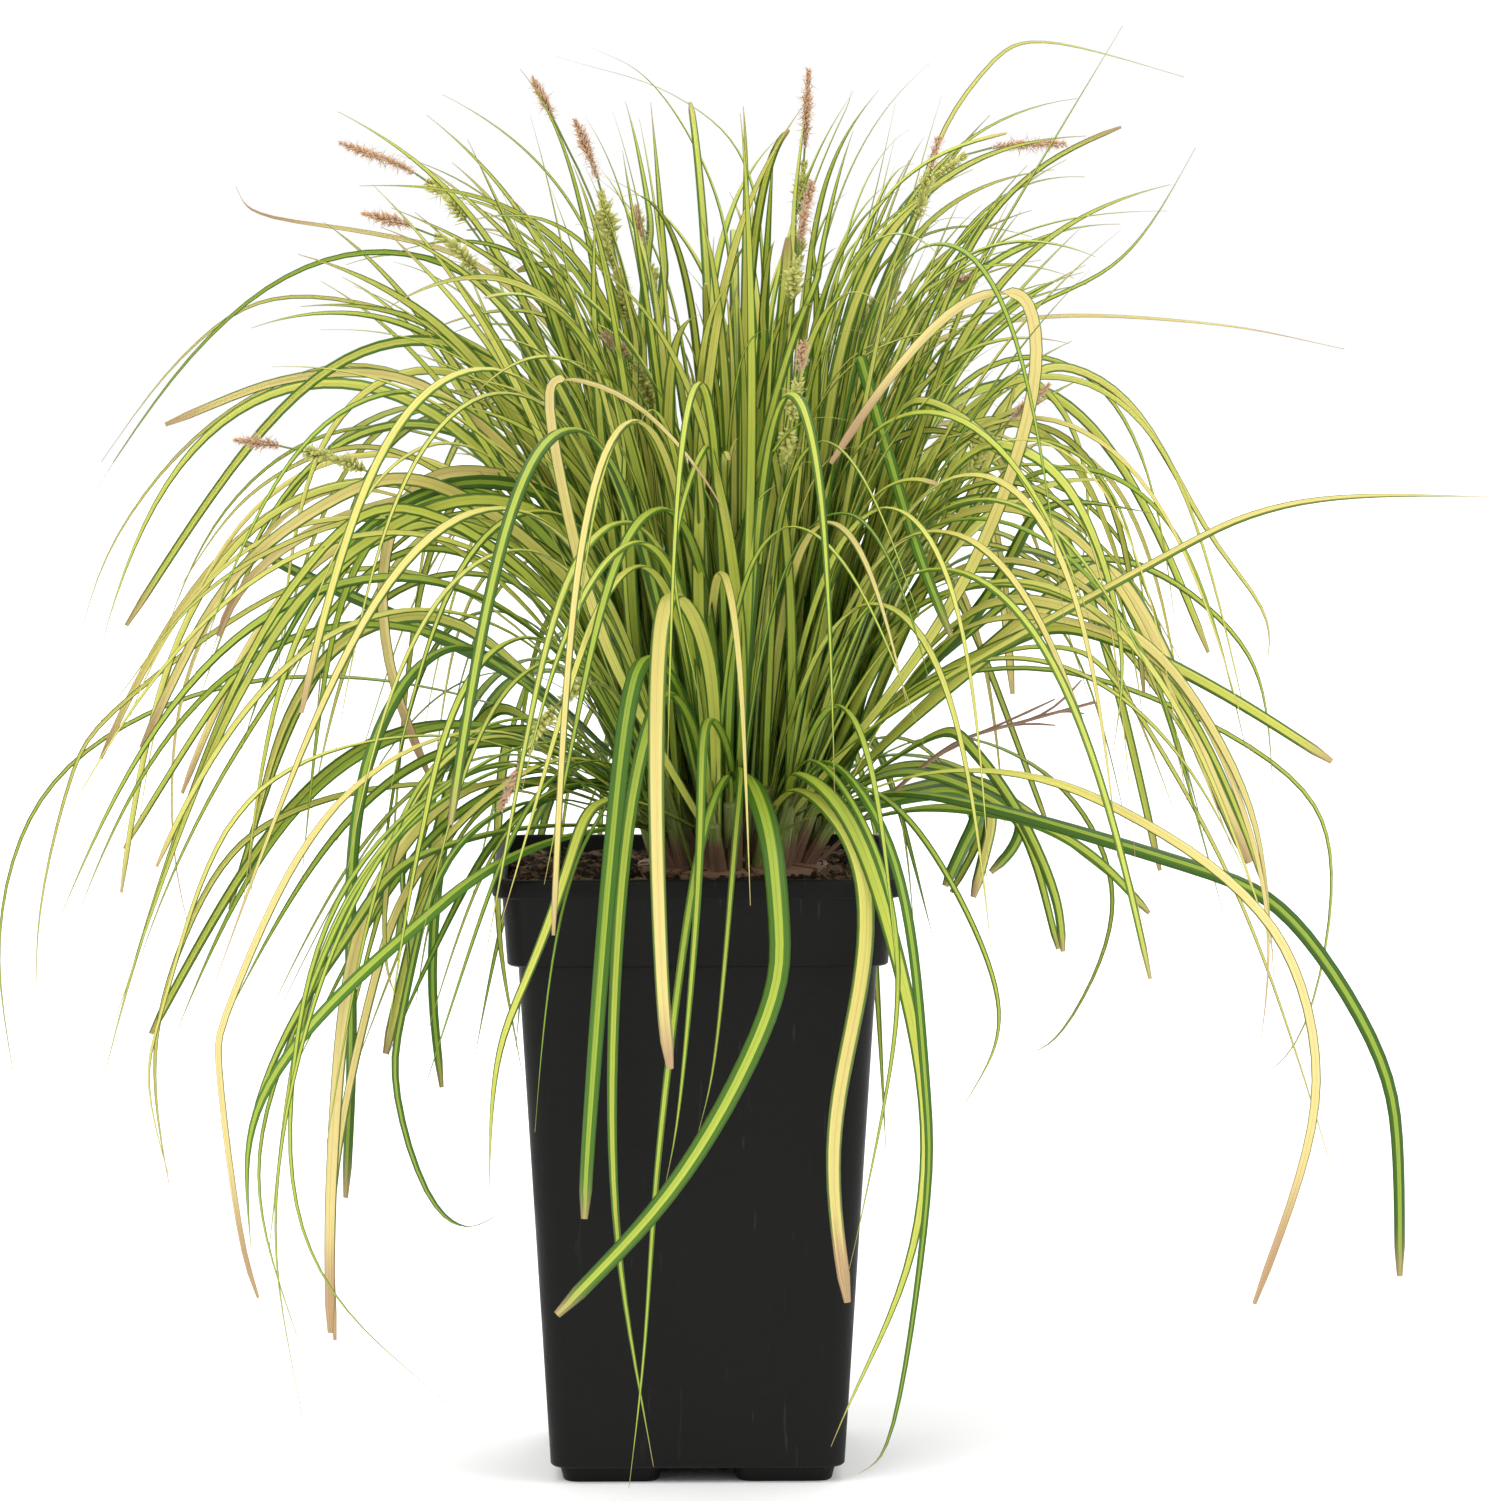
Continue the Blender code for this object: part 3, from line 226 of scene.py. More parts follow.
# The leaves that stand out. Each has its width, its end, its turn about its own length in degrees, its
# finish, and the points that it passes from the crown to its end, in millimetres.
STANDING_OUT = {
    "tuft_front": [
        (7.0, "cut", 10, "dark", [
            (-3, -48, 290), (-22, -95, 315), (-32, -125, 246), (-40, -140, 150), (-42, -140, 115)]),
        (5.7, "fine", -10, "fresh", [
            (0, -42, 280), (-14, -78, 300), (-28, -104, 240), (-32, -120, 119), (-17, -115, 19)]),
        (7.0, "cut", 5, "cream", [
            (5, -60, 310), (-12, -110, 340), (-16, -135, 282), (-14, -150, 202), (-11, -150, 171)]),
        (3.6, "fine", 0, "fresh", [
            (12, -50, 268), (-1, -94, 240), (-15, -118, 137), (-20, -120, 65), (-26, -120, 12)]),
        (4.3, "fine", 15, "fresh", [
            (12, -45, 275), (2, -80, 290), (0, -107, 235), (-7, -115, 154), (-13, -115, 121)]),
        (3.2, "fine", -15, "fresh", [
            (16, -48, 270), (13, -91, 243), (6, -108, 171), (-1, -108, 139)]),
        (8.5, "cut", 5, "broad", [
            (22, -48, 268), (28, -94, 252), (31, -110, 225), (27, -120, 190), (-7, -130, 127),
            (-52, -135, 79)]),
        (4.7, "fine", 30, "tan", [
            (-21, -60, 289), (-40, -90, 333), (-55, -115, 407), (-49, -118, 418), (-21, -110, 408),
            (4, -105, 378), (12, -100, 361)]),
        (3.8, "fine", 20, "fresh", [
            (12, -40, 330), (6, -80, 396), (-10, -108, 355), (-3, -115, 315), (1, -115, 296)]),
    ],
    "tuft_front_right": [
        (5.2, "fine", 50, "turning", [
            (75, -60, 293), (162, -125, 350), (196, -150, 370), (230, -170, 378), (280, -190, 379)]),
        (4.0, "cut", 45, "tan", [
            (75, -60, 267), (110, -100, 273), (143, -140, 268), (198, -205, 237), (213, -235, 192),
            (209, -250, 156), (190, -256, 104)]),
        (5.0, "cut", -35, "tan", [
            (96, -70, 331), (122, -88, 405), (122, -92, 438), (114, -94, 448), (92, -95, 442),
            (66, -95, 412), (48, -95, 385)]),
        (2.8, "fine", 20, "fresh", [
            (60, -42, 262), (88, -64, 238), (112, -80, 181), (94, -76, 139)]),
        (6.4, "fine", 15, "bright", [
            (35, -48, 268), (56, -84, 254), (73, -106, 203), (83, -120, 144), (74, -125, 87),
            (45, -125, 28)]),
        (7.0, "cut", -12, "frayed", [
            (38, -48, 262), (58, -88, 243), (61, -99, 205), (50, -112, 153), (49, -112, 117),
            (54, -112, 79)]),
        (3.0, "fine", 0, "fresh", [
            (42, -50, 275), (66, -106, 242), (72, -130, 192), (61, -132, 127), (54, -132, 95)]),
        (4.2, "fine", 10, "dark", [
            (48, -55, 275), (73, -112, 240), (81, -140, 165), (82, -142, 122), (70, -140, 36),
            (57, -140, 21)]),
        (5.6, "cut", 25, "dark", [
            (45, -50, 344), (58, -60, 416), (62, -64, 414), (79, -68, 356), (93, -74, 320)]),
        (6.0, "cut", 35, "bright", [
            (28, -27, 362), (34, -36, 465)]),
    ],
    "tuft_right": [
        (6.0, "cut", 45, "bright", [
            (75, -18, 290), (113, -30, 312), (141, -40, 321), (190, -56, 300), (234, -70, 273)]),
        (7.6, "cut", 60, "cream", [
            (80, 8, 280), (140, 16, 330), (159, 20, 336), (179, 24, 304), (192, 28, 270), (213, 35, 223)]),
        (3.8, "fine", 35, "tan", [
            (80, -35, 305), (112, -50, 327), (157, -70, 320), (184, -85, 295), (205, -95, 242),
            (209, -98, 202), (205, -98, 166)]),
        (6.0, "cut", 40, "dark", [
            (68, -28, 258), (112, -45, 253), (185, -70, 233), (217, -80, 220), (251, -90, 168),
            (257, -95, 133), (258, -95, 85)]),
        (2.4, "fine", 30, "ageing", [
            (100, 12, 300), (139, 18, 308), (162, 20, 293), (204, 20, 221), (230, 20, 152), (249, 20, 90)]),
        (2.6, "fine", 40, "fresh", [
            (80, 4, 380), (115, 8, 430), (153, 12, 449), (172, 14, 468), (189, 16, 497)]),
        (2.4, "fine", 45, "tan", [
            (70, 5, 400), (117, 12, 432), (194, 15, 431), (246, 16, 421)]),
        (2.2, "fine", 30, "fresh", [
            (60, -14, 360), (84, -20, 416), (114, -25, 469), (158, -30, 543)]),
        (4.2, "cut", 40, "fresh", [
            (77, 6, 262), (115, 10, 249), (128, 10, 230), (138, 10, 193)]),
    ],
    "tuft_back_right": [
        (3.6, "fine", 40, "fresh", [
            (80, 40, 290), (119, 60, 320), (142, 60, 338), (177, 75, 335), (213, 86, 306), (224, 88, 279),
            (227, 88, 240)]),
        (2.4, "fine", 30, "fresh", [
            (70, 32, 285), (118, 52, 298), (169, 72, 288), (237, 95, 251), (253, 100, 211), (241, 98, 145),
            (218, 96, 128)]),
        (2.4, "fine", 20, "ageing", [
            (50, 22, 360), (71, 32, 425), (90, 38, 494), (111, 48, 526), (132, 54, 538), (189, 72, 523)]),
        (4.0, "fine", 35, "fresh", [
            (80, 32, 262), (118, 45, 249), (148, 54, 226), (175, 64, 203)]),
        (2.8, "fine", 15, "fresh", [
            (90, 70, 270), (144, 110, 247), (168, 116, 198), (147, 112, 147), (127, 106, 137)]),
        (4.6, "cut", 20, "fresh", [
            (70, 55, 262), (106, 84, 254), (113, 92, 230), (101, 90, 205)]),
        (3.4, "fine", 25, "fresh", [
            (40, 26, 350), (54, 42, 425), (67, 46, 470), (77, 52, 513)]),
    ],
    "tuft_back": [
        (2.6, "fine", 15, "fresh", [
            (16, 40, 350), (16, 60, 424), (10, 90, 477), (-16, 125, 522), (-44, 150, 534)]),
        (2.4, "fine", 20, "fresh", [
            (24, 45, 350), (26, 90, 474), (-4, 140, 514), (-55, 186, 530)]),
        (4.4, "fine", -15, "bright", [
            (22, 70, 300), (30, 140, 318), (36, 200, 275), (38, 240, 190), (36, 258, 110)]),
        (5.0, "cut", 20, "dark", [
            (8, 60, 285), (0, 120, 290), (-8, 160, 245), (-12, 172, 170), (-12, 170, 120)]),
        (5.6, "cut", 10, "cream", [
            (34, 60, 280), (50, 100, 282), (58, 124, 230), (60, 132, 150), (56, 130, 95)]),
    ],
    "tuft_back_left": [
        (2.6, "fine", 40, "fresh", [
            (-40, 30, 270), (-94, 62, 288), (-160, 118, 289), (-218, 160, 270), (-262, 182, 236),
            (-279, 190, 188), (-279, 190, 148), (-271, 186, 103)]),
        (2.6, "fine", 35, "tan", [
            (-60, 60, 330), (-142, 98, 367), (-197, 125, 297), (-206, 128, 225), (-196, 124, 174)]),
        (2.6, "fine", 35, "ageing", [
            (-40, 42, 350), (-115, 82, 413), (-182, 120, 393), (-228, 145, 342), (-246, 152, 291)]),
        (5.0, "cut", 20, "dark", [
            (-30, 60, 285), (-70, 110, 290), (-95, 140, 240), (-104, 150, 170), (-100, 146, 120)]),
    ],
    "tuft_left": [
        (2.8, "fine", 40, "ageing", [
            (-70, 24, 320), (-140, 40, 338), (-222, 60, 282), (-241, 62, 253), (-254, 62, 198),
            (-254, 62, 158)]),
        (3.4, "fine", 40, "fresh", [
            (-50, -6, 320), (-111, -14, 351), (-167, -20, 281), (-196, -22, 228), (-212, -24, 186)]),
        (2.6, "fine", 35, "ageing", [
            (-30, 18, 360), (-75, 32, 419), (-153, 44, 442), (-196, 56, 417), (-229, 60, 374)]),
        (4.4, "cut", 45, "cream", [
            (-45, -8, 350), (-96, -14, 407), (-148, -18, 413), (-198, -20, 395)]),
        (3.0, "fine", 40, "ageing", [
            (-50, 6, 330), (-112, 14, 384), (-166, 20, 369), (-202, 22, 321)]),
        (3.4, "fine", 40, "tan", [
            (-30, 14, 390), (-75, 26, 449), (-119, 34, 464), (-165, 38, 471), (-174, 38, 482)]),
    ],
    "tuft_front_left": [
        (5.2, "cut", 45, "cream", [
            (-40, -32, 330), (-99, -62, 378), (-140, -75, 367), (-175, -78, 337), (-204, -80, 280)]),
        (4.4, "fine", 40, "bright", [
            (-50, -50, 330), (-109, -80, 371), (-144, -98, 346), (-173, -100, 296), (-203, -102, 213),
            (-219, -102, 155)]),
        (2.8, "fine", 30, "ageing", [
            (-80, -80, 285), (-161, -138, 273), (-192, -150, 195), (-198, -152, 163), (-187, -150, 119)]),
        (3.2, "cut", 25, "tan", [
            (-70, -90, 290), (-131, -160, 270), (-167, -180, 199), (-171, -182, 176), (-164, -180, 116),
            (-158, -176, 93)]),
        (2.8, "fine", 20, "fresh", [
            (-60, -62, 275), (-115, -106, 246), (-143, -120, 191), (-162, -122, 127), (-142, -118, 54)]),
        (4.0, "cut", 25, "cream", [
            (-50, -44, 275), (-102, -82, 237), (-121, -90, 187), (-135, -92, 117), (-134, -92, 62)]),
        (2.4, "fine", 15, "fresh", [
            (-50, -85, 285), (-105, -150, 262), (-137, -188, 202), (-152, -192, 123), (-142, -188, 52)]),
        (2.4, "fine", 15, "fresh", [
            (-70, -95, 280), (-130, -160, 237), (-147, -180, 152), (-133, -170, 94), (-90, -138, 46)]),
        (3.6, "fine", 20, "dark", [
            (-55, -58, 262), (-94, -100, 243), (-107, -110, 189), (-112, -110, 163), (-102, -108, 123),
            (-86, -108, 104), (-62, -108, 118)]),
        (4.6, "fine", 25, "dark", [
            (-35, -24, 262), (-72, -40, 246), (-100, -52, 197), (-116, -54, 160)]),
        (3.2, "fine", 40, "ageing", [
            (-45, -34, 320), (-103, -62, 365), (-174, -82, 343), (-218, -92, 291)]),
    ],
}

# More leaves that stand out, in the same form, which only the scene has
LOOSE_LEAVES = {
    "tuft_front": [
        (5.0, "fine", -10, "bright", [
            (-32, -66, 261), (-42, -96, 256), (-49, -116, 235), (-62, -128, 202), (-74, -134, 177),
            (-81, -136, 154), (-84, -136, 122)]),
    ],
    "tuft_front_right": [
        (5.6, "fine", 35, "bright", [
            (88, -54, 376), (112, -76, 391), (130, -92, 382), (142, -102, 363), (151, -108, 335),
            (154, -110, 308), (150, -110, 279)]),
        (4.8, "fine", 35, "bright", [
            (67, -42, 390), (84, -58, 406), (104, -74, 396), (119, -82, 378), (130, -88, 358),
            (136, -92, 347), (135, -92, 337)]),
    ],
    "tuft_right": [
        (5.6, "fine", 40, "cream", [
            (96, -34, 327), (131, -56, 330), (157, -72, 323), (176, -82, 306), (193, -90, 279),
            (206, -94, 247), (211, -94, 195)]),
        (5.0, "cut", 30, "fresh", [
            (90, -8, 278), (103, -12, 273), (118, -16, 254), (129, -18, 233), (136, -20, 214),
            (138, -20, 196)]),
        (4.6, "cut", 30, "fresh", [
            (83, -14, 250), (114, -26, 249), (134, -34, 243), (152, -38, 231), (169, -40, 213)]),
        (7.4, "cut", 40, "dark", [
            (77, 4, 251), (99, 10, 254), (108, 14, 246), (102, 14, 232), (95, 12, 217)]),
        (6.4, "fine", 40, "ageing", [
            (63, 0, 295), (83, 2, 329), (102, 4, 362), (117, 6, 394), (122, 6, 416)]),
        (6.0, "fine", 50, "broad", [
            (80, -6, 295), (100, -10, 316), (116, -14, 339), (124, -16, 357), (132, -18, 364),
            (146, -20, 366), (173, -22, 361)]),
    ],
    "tuft_back_right": [
        (4.0, "fine", 30, "bright", [
            (100, 38, 379), (119, 50, 408), (133, 58, 406), (147, 64, 388), (153, 68, 362), (151, 68, 340),
            (147, 66, 320)]),
        (4.2, "fine", 30, "ageing", [
            (115, 46, 399), (145, 62, 412), (169, 74, 398), (186, 82, 372), (204, 88, 340), (226, 92, 313),
            (223, 90, 289)]),
        (7.0, "cut", 30, "ageing", [
            (82, 32, 249), (105, 50, 251), (115, 60, 240), (112, 60, 222), (108, 58, 207)]),
        (6.4, "cut", 30, "dark", [
            (92, 36, 254), (116, 58, 249), (127, 68, 237), (124, 68, 225), (115, 64, 216)]),
    ],
    "tuft_back": [],
    "tuft_back_left": [
        (5.0, "fine", 15, "bright", [
            (-60, 50, 268), (-71, 80, 271), (-76, 98, 242), (-77, 104, 202), (-75, 106, 175),
            (-71, 106, 152), (-67, 106, 130)]),
    ],
    "tuft_left": [
        (6.4, "cut", 30, "bright", [
            (-52, 20, 271), (-74, 22, 287), (-87, 20, 271), (-96, 16, 244), (-103, 12, 215), (-112, 8, 179),
            (-118, 6, 154)]),
        (6.6, "fine", 30, "ageing", [
            (-81, 10, 319), (-125, 12, 317), (-145, 10, 299), (-157, 6, 277), (-164, 4, 253), (-169, 2, 233),
            (-168, 2, 216)]),
        (3.4, "fine", 30, "ageing", [
            (-74, 14, 257), (-125, 10, 255), (-154, 0, 247), (-177, -6, 232), (-195, -14, 197),
            (-206, -18, 154), (-197, -18, 97)]),
        (5.2, "cut", 40, "tan", [
            (-37, -8, 352), (-64, -12, 373), (-91, -16, 378), (-109, -20, 368), (-118, -24, 339),
            (-114, -26, 299), (-100, -26, 264)]),
        (4.6, "cut", 40, "tan", [
            (-37, 0, 359), (-70, 2, 372), (-106, 4, 366), (-134, 4, 359), (-160, 2, 344), (-174, 0, 328),
            (-180, 0, 314)]),
        (7.0, "cut", 50, "dark", [
            (-52, 26, 287), (-89, 40, 306), (-125, 50, 322), (-155, 56, 335), (-175, 60, 346)]),
    ],
    "tuft_front_left": [
        (6.6, "fine", 20, "broad", [
            (-48, -55, 245), (-80, -92, 235), (-100, -110, 220), (-124, -125, 201), (-148, -135, 176),
            (-164, -140, 146), (-162, -140, 102)]),
        (5.4, "fine", 25, "fresh", [
            (-59, -50, 248), (-94, -85, 244), (-114, -100, 235), (-129, -112, 212), (-146, -120, 188),
            (-163, -125, 150), (-164, -125, 120)]),
        (4.8, "fine", 30, "ageing", [
            (-59, -40, 277), (-83, -60, 281), (-101, -80, 267), (-112, -92, 245), (-115, -98, 219),
            (-114, -100, 199), (-109, -100, 187)]),
        (4.6, "fine", 25, "dark", [
            (-62, -35, 283), (-86, -52, 277), (-102, -66, 265), (-109, -74, 243), (-108, -78, 216),
            (-106, -80, 198), (-110, -82, 185)]),
        (5.2, "fine", 30, "bright", [
            (-66, -45, 272), (-94, -75, 265), (-113, -95, 247), (-130, -108, 223), (-142, -116, 193),
            (-150, -120, 155), (-157, -120, 98)]),
        (5.6, "cut", 25, "dark", [
            (-73, -40, 312), (-101, -60, 311), (-117, -76, 287), (-125, -84, 259), (-128, -88, 220),
            (-127, -88, 171), (-130, -86, 114)]),
        (6.0, "cut", 20, "tan", [
            (-69, -46, 267), (-100, -76, 254), (-119, -96, 228), (-128, -106, 197), (-132, -110, 160),
            (-135, -110, 111), (-135, -110, 68)]),
        (5.6, "fine", 40, "bright", [
            (-35, -40, 347), (-78, -62, 372), (-113, -78, 361), (-141, -90, 341), (-162, -98, 311),
            (-184, -104, 266), (-213, -108, 182)]),
        (6.0, "fine", 35, "dark", [
            (-39, -34, 354), (-64, -44, 373), (-90, -56, 376), (-121, -68, 362), (-142, -78, 336),
            (-159, -84, 305), (-167, -86, 280)]),
    ],
}

# Finish of a leaf: its age from 0, green, to 1, cream; the share of its half width that the pale centre
# takes; and the share of its length that has dried from the tip
FINISHES = {
    "dark": (0.02, 0.30, 0.015),
    "fresh": (0.14, 0.46, 0.02),
    "bright": (0.30, 0.60, 0.03),
    "broad": (0.08, 0.36, 0.012),
    "ageing": (0.55, 0.62, 0.05),
    "turning": (0.80, 0.50, 0.03),
    "cream": (0.90, 0.72, 0.05),
    "frayed": (0.84, 0.68, 0.10),
    "tan": (1.00, 0.80, 0.10),
}

# Looks of the leaves that follow a rule: the rise below which a leaf is low, the arch above which it is
# upright, the ages of each kind, and how the stripe and the dried share follow the age
LOW_RISE = 64
HIGH_ARCH = 0.66
AGE_VARIATION = (-0.02, 0.02)
LOW_AGES = (0.0, 0.22)
UPRIGHT_AGES = (0.10, 0.45)
ARCHING_AGES = ((0.0, 0.3), (0.15, 0.5), (0.4, 0.95))
STRIPE_SHARE = 0.40
STRIPE_GROWTH = 0.36
STRIPE_VARIATION = (-0.08, 0.20)
DRY_SHARES = (0.0, 0.03)
DRY_GROWTH = 0.08

# Colours inside the materials, beside those that the settings hold. A leaf's centre and its edge go through
# several as it ages from 0 to 1.
NEW_STRIPE = (0.30, 0.43, 0.040)
STRIPE_AGE = 0.16
RIPE_STRIPES = ((0.50, (0.74, 0.68, 0.16)), (0.75, (0.80, 0.66, 0.20)))
RIPE_MARGINS = ((0.40, (0.034, 0.115, 0.008)), (0.75, (0.060, 0.125, 0.014)))
OLD_MARGIN = (0.13, 0.16, 0.035)
PALE_TIP = (0.66, 0.48, 0.26)
GREEN_FOOT = (0.40, 0.44, 0.13)
PALE_SHEATH = (0.30, 0.17, 0.10)
FRESH_SHEATH = (0.12, 0.20, 0.03)
PALE_FRESH_SHEATH = (0.42, 0.46, 0.14)
DARK_CULM = (0.10, 0.17, 0.03)
GRAIN_TIP = (0.80, 0.76, 0.26)
AWN_TIP = (0.84, 0.78, 0.40)
SCALE_TIP = (0.90, 0.54, 0.30)
ANTHER_TIP = (1.00, 0.78, 0.58)
DRY_STEM = (0.42, 0.26, 0.16)
DARK_DRY_STEM = (0.22, 0.12, 0.075)
SCUFF = (0.05, 0.048, 0.044)
DUST = (0.011, 0.0105, 0.0098)
PALE_PEAT = (0.060, 0.036, 0.022)
PALE_BARK = (0.40, 0.27, 0.16)

# Leaf material: how a leaf ripens along its length, how many lines and hairs it has across, how much they
# show, and how ragged and how soft the pale centre and the dried tip are. Each fade has where it begins
# and ends, then its two values.
RIPENING = (0.12, 0.72, 0.26, 1.0)
VIVID_SPREAD = 7.3
VIVID_SHARE = 0.8
LEAF_LINES = 9.0
LEAF_HAIRS = 26.0
LINE_SHARE = 0.16
STRIPE_RAGGED = 0.13
STRIPE_SOFT = 0.04
KEEL_FADE = (0.0, 0.07, 0.30, 0.0)
TIP_RAGGED = 0.05
TIP_SOFT = (0.04, 0.05)
TIP_ROUGHNESS = (0.0, 1.0, 0.36, 0.75)
FOOT_FADE = (0.01, 0.08, 0.6, 0.0)
FOOT_CHOICE = (0.3, 0.7)

# Spikes: how much a grain narrows to its beak, how far it stands off, its jitter and its sizes. Litter:
# how it may be turned in radians, and its sizes.
BEAK = 0.75
GRAIN_LIFT = 0.9
GOLDEN_ANGLE = math.pi * (3 - math.sqrt(5))
JITTER = (-0.5, 0.5)
GRAIN_SIZES = (0.75, 1.2)
CHIP_TURNS = ((-0.6, -0.6, 0.0), (0.6, 0.6, 6.3))
CHIP_SIZES = (0.35, 1.6)

# The flower stems. Each has the sector edge that it stands on, its route as distance from the crown's
# axis and height, the length of its brown end spike, and where its green spikes start below that and
# how long they are, all in millimetres. A taper is the share of the radius at a stem's foot, and how much
# of that is lost by its end.
FLOWER_STEMS = [
    (155.0, [(14, 217), (48, 380), (105, 461), (130, 485), (165, 498)], 34.0, [(6, 22), (44, 18)]),
    (155.0, [(8, 217), (28, 360), (52, 460), (74, 507), (83, 523)], 18.0, [(40, 20)]),
    (155.0, [(21, 217), (62, 320), (98, 380), (114, 410)], 22.0, [(14, 16)]),
    (195.0, [(14, 217), (50, 360), (98, 450), (122, 468), (142, 474)], 19.0, [(10, 20)]),
    (195.0, [(8, 217), (26, 360), (44, 450), (52, 485), (61, 508)], 24.0, [(5, 20), (34, 18)]),
    (195.0, [(22, 217), (70, 318), (110, 360), (142, 379), (172, 388), (191, 391)], 17.0, [(8, 26)]),
    (62.0, [(9, 217), (30, 340), (52, 440), (60, 492), (64, 526)], 30.0, [(6, 20), (34, 16)]),
    (62.0, [(19, 217), (60, 340), (112, 425), (149, 450)], 16.0, [(12, 18)]),
    (-78.5, [(9, 217), (36, 340), (80, 420), (112, 465), (130, 488)], 28.0, [(8, 18)]),
    (-78.5, [(20, 217), (52, 320), (92, 392), (110, 416), (120, 430)], 13.0, [(5, 18), (28, 16)]),
    (18.0, [(9, 217), (30, 370), (62, 466), (90, 492), (106, 497), (134, 498)], 30.0, [(12, 18)]),
    (18.0, [(15, 217), (38, 340), (66, 420), (84, 443), (99, 448)], 16.0, [(8, 16)]),
    (-31.0, [(9, 217), (34, 360), (66, 440), (80, 476), (88, 502)], 12.0, [(2, 18)]),
    (-31.0, [(18, 217), (60, 320), (104, 384), (134, 412)], 20.0, [(10, 18)]),
    (235.0, [(14, 217), (34, 320), (53, 402), (70, 422), (85, 431)], 17.0, [(6, 20)]),
    (235.0, [(21, 217), (56, 280), (90, 303), (122, 292), (150, 262)], 20.0, [(6, 22), (34, 18)]),
    (112.0, [(11, 217), (36, 340), (72, 430), (96, 473)], 16.0, [(10, 18)]),
]
DEAD_STEM = (18.0, [(24, 217), (50, 240), (72, 258), (92, 271), (120, 278), (147, 284)])
CULM_RADIUS = 0.75
CULM_TAPER = (1.0, 0.45)
CULM_STEPS = 28
STEM_SIDES = 6
SPIKE_STEPS = 10
SWELL_START = 0.14
SWELL_SPAN = 0.74
SWELL_POWER = 0.7
TOUCH_GAP = 0.3

# The dry stem and its branches, of which the last ones are short. Lengths are in millimetres, and places
# are shares of the stem's length or the branch's.
DEAD_STEM_RADIUS = 0.9
DEAD_STEM_TAPER = (1.1, 0.4)
DEAD_STEM_STEPS = 24
BRANCHES = 7
LONG_BRANCHES = 5
BRANCH_START = 0.46
BRANCH_SPACING = 0.085
BRANCH_SPREADS = ((-1, 1), (-1, 1), (-0.6, 0.8))
BRANCH_LENGTHS = (10.0, 26.0)
SHORT_BRANCH = 8.0
BRANCH_FORWARD = 1.1
BRANCH_OUTWARD = 0.6
BRANCH_RADII = ((0, 0.6), (0.25, 0.55), (0.5, 0.48), (0.75, 0.55), (1.0, 0.3))

# Forms of the small things, in metres: what is strewn on the soil, and what is set round the spikes
CHIP_SHARE = 0.30
CRUMB_SHARE = 0.70
CHIPS = {"size": 0.0021, "flatness": 0.45, "stretch": 1.7, "seed": 3}
CRUMBS = {"size": 0.0014, "flatness": 0.8, "stretch": 1.1, "seed": 8}
FIBRES = {"size": 0.00035, "flatness": 1.0, "stretch": 15.0, "seed": 5}
GRAINS = {"slimness": 0.38, "lean": 0.74, "spread": 0.6, "core": 0.0003, "sides": 6, "seed": 11}
AWNS = {"slimness": 0.045, "lean": 1.0, "spread": 0.9, "core": 0.0004, "sides": 3, "seed": 17}
AWN_SPACING = 0.8
AWN_LENGTH = 1.35
SCALES = {"slimness": 0.30, "lean": 0.26, "spread": 0.3, "core": 0.0003, "sides": 5, "seed": 23}
SCALE_SPACING = 0.00035
SCALE_LENGTH = 0.0038
ANTHERS = {"slimness": 0.062, "lean": 0.95, "spread": 1.3, "core": 0.0006, "sides": 3, "seed": 29}

# Floor in metres, and the soft suns: each one's name, the side that it shines from and its strength
FLOOR_REACH = 6.0
FLOOR_DIMMING = 0.985
SUN_WIDTH = 40.0
SUNS = (
    ("sun_left", (-1.0, -0.9, 1.5), 1.0),
    ("sun_right", (1.2, -0.5, 1.1), 0.55),
    ("sun_back", (0.1, 1.0, 1.3), 0.5),
)

# Camera: where it stands and how far it sees in metres, how far it looks down and to the right in
# degrees, and its lens, from the focal length and the width of its picture in pixels
CAMERA_PLACE = (-0.032, -2.735, 0.553)
CAMERA_PITCH = 5.9
CAMERA_YAW = 1.1
CAMERA_SENSOR = 36.0
FOCAL_PIXELS = 7270
PICTURE_PIXELS = 1500
CAMERA_LENS = FOCAL_PIXELS / PICTURE_PIXELS * CAMERA_SENSOR
CAMERA_CLIP = 30.0


# Sizes and colours that a user would change

def colour_property(name, description, default):
    return FloatVectorProperty(
        name=name, description=description, subtype="COLOR", size=3, min=0, max=1, default=default
    )


def length_property(name, description, default):
    return FloatProperty(
        name=name, description=description, unit="LENGTH", subtype="DISTANCE", min=0, default=default
    )


def count_property(name, description, least, default):
    return IntProperty(name=name, description=description, min=least, default=default)


def share_property(name, description, default):
    return FloatProperty(name=name, description=description, min=0, default=default)


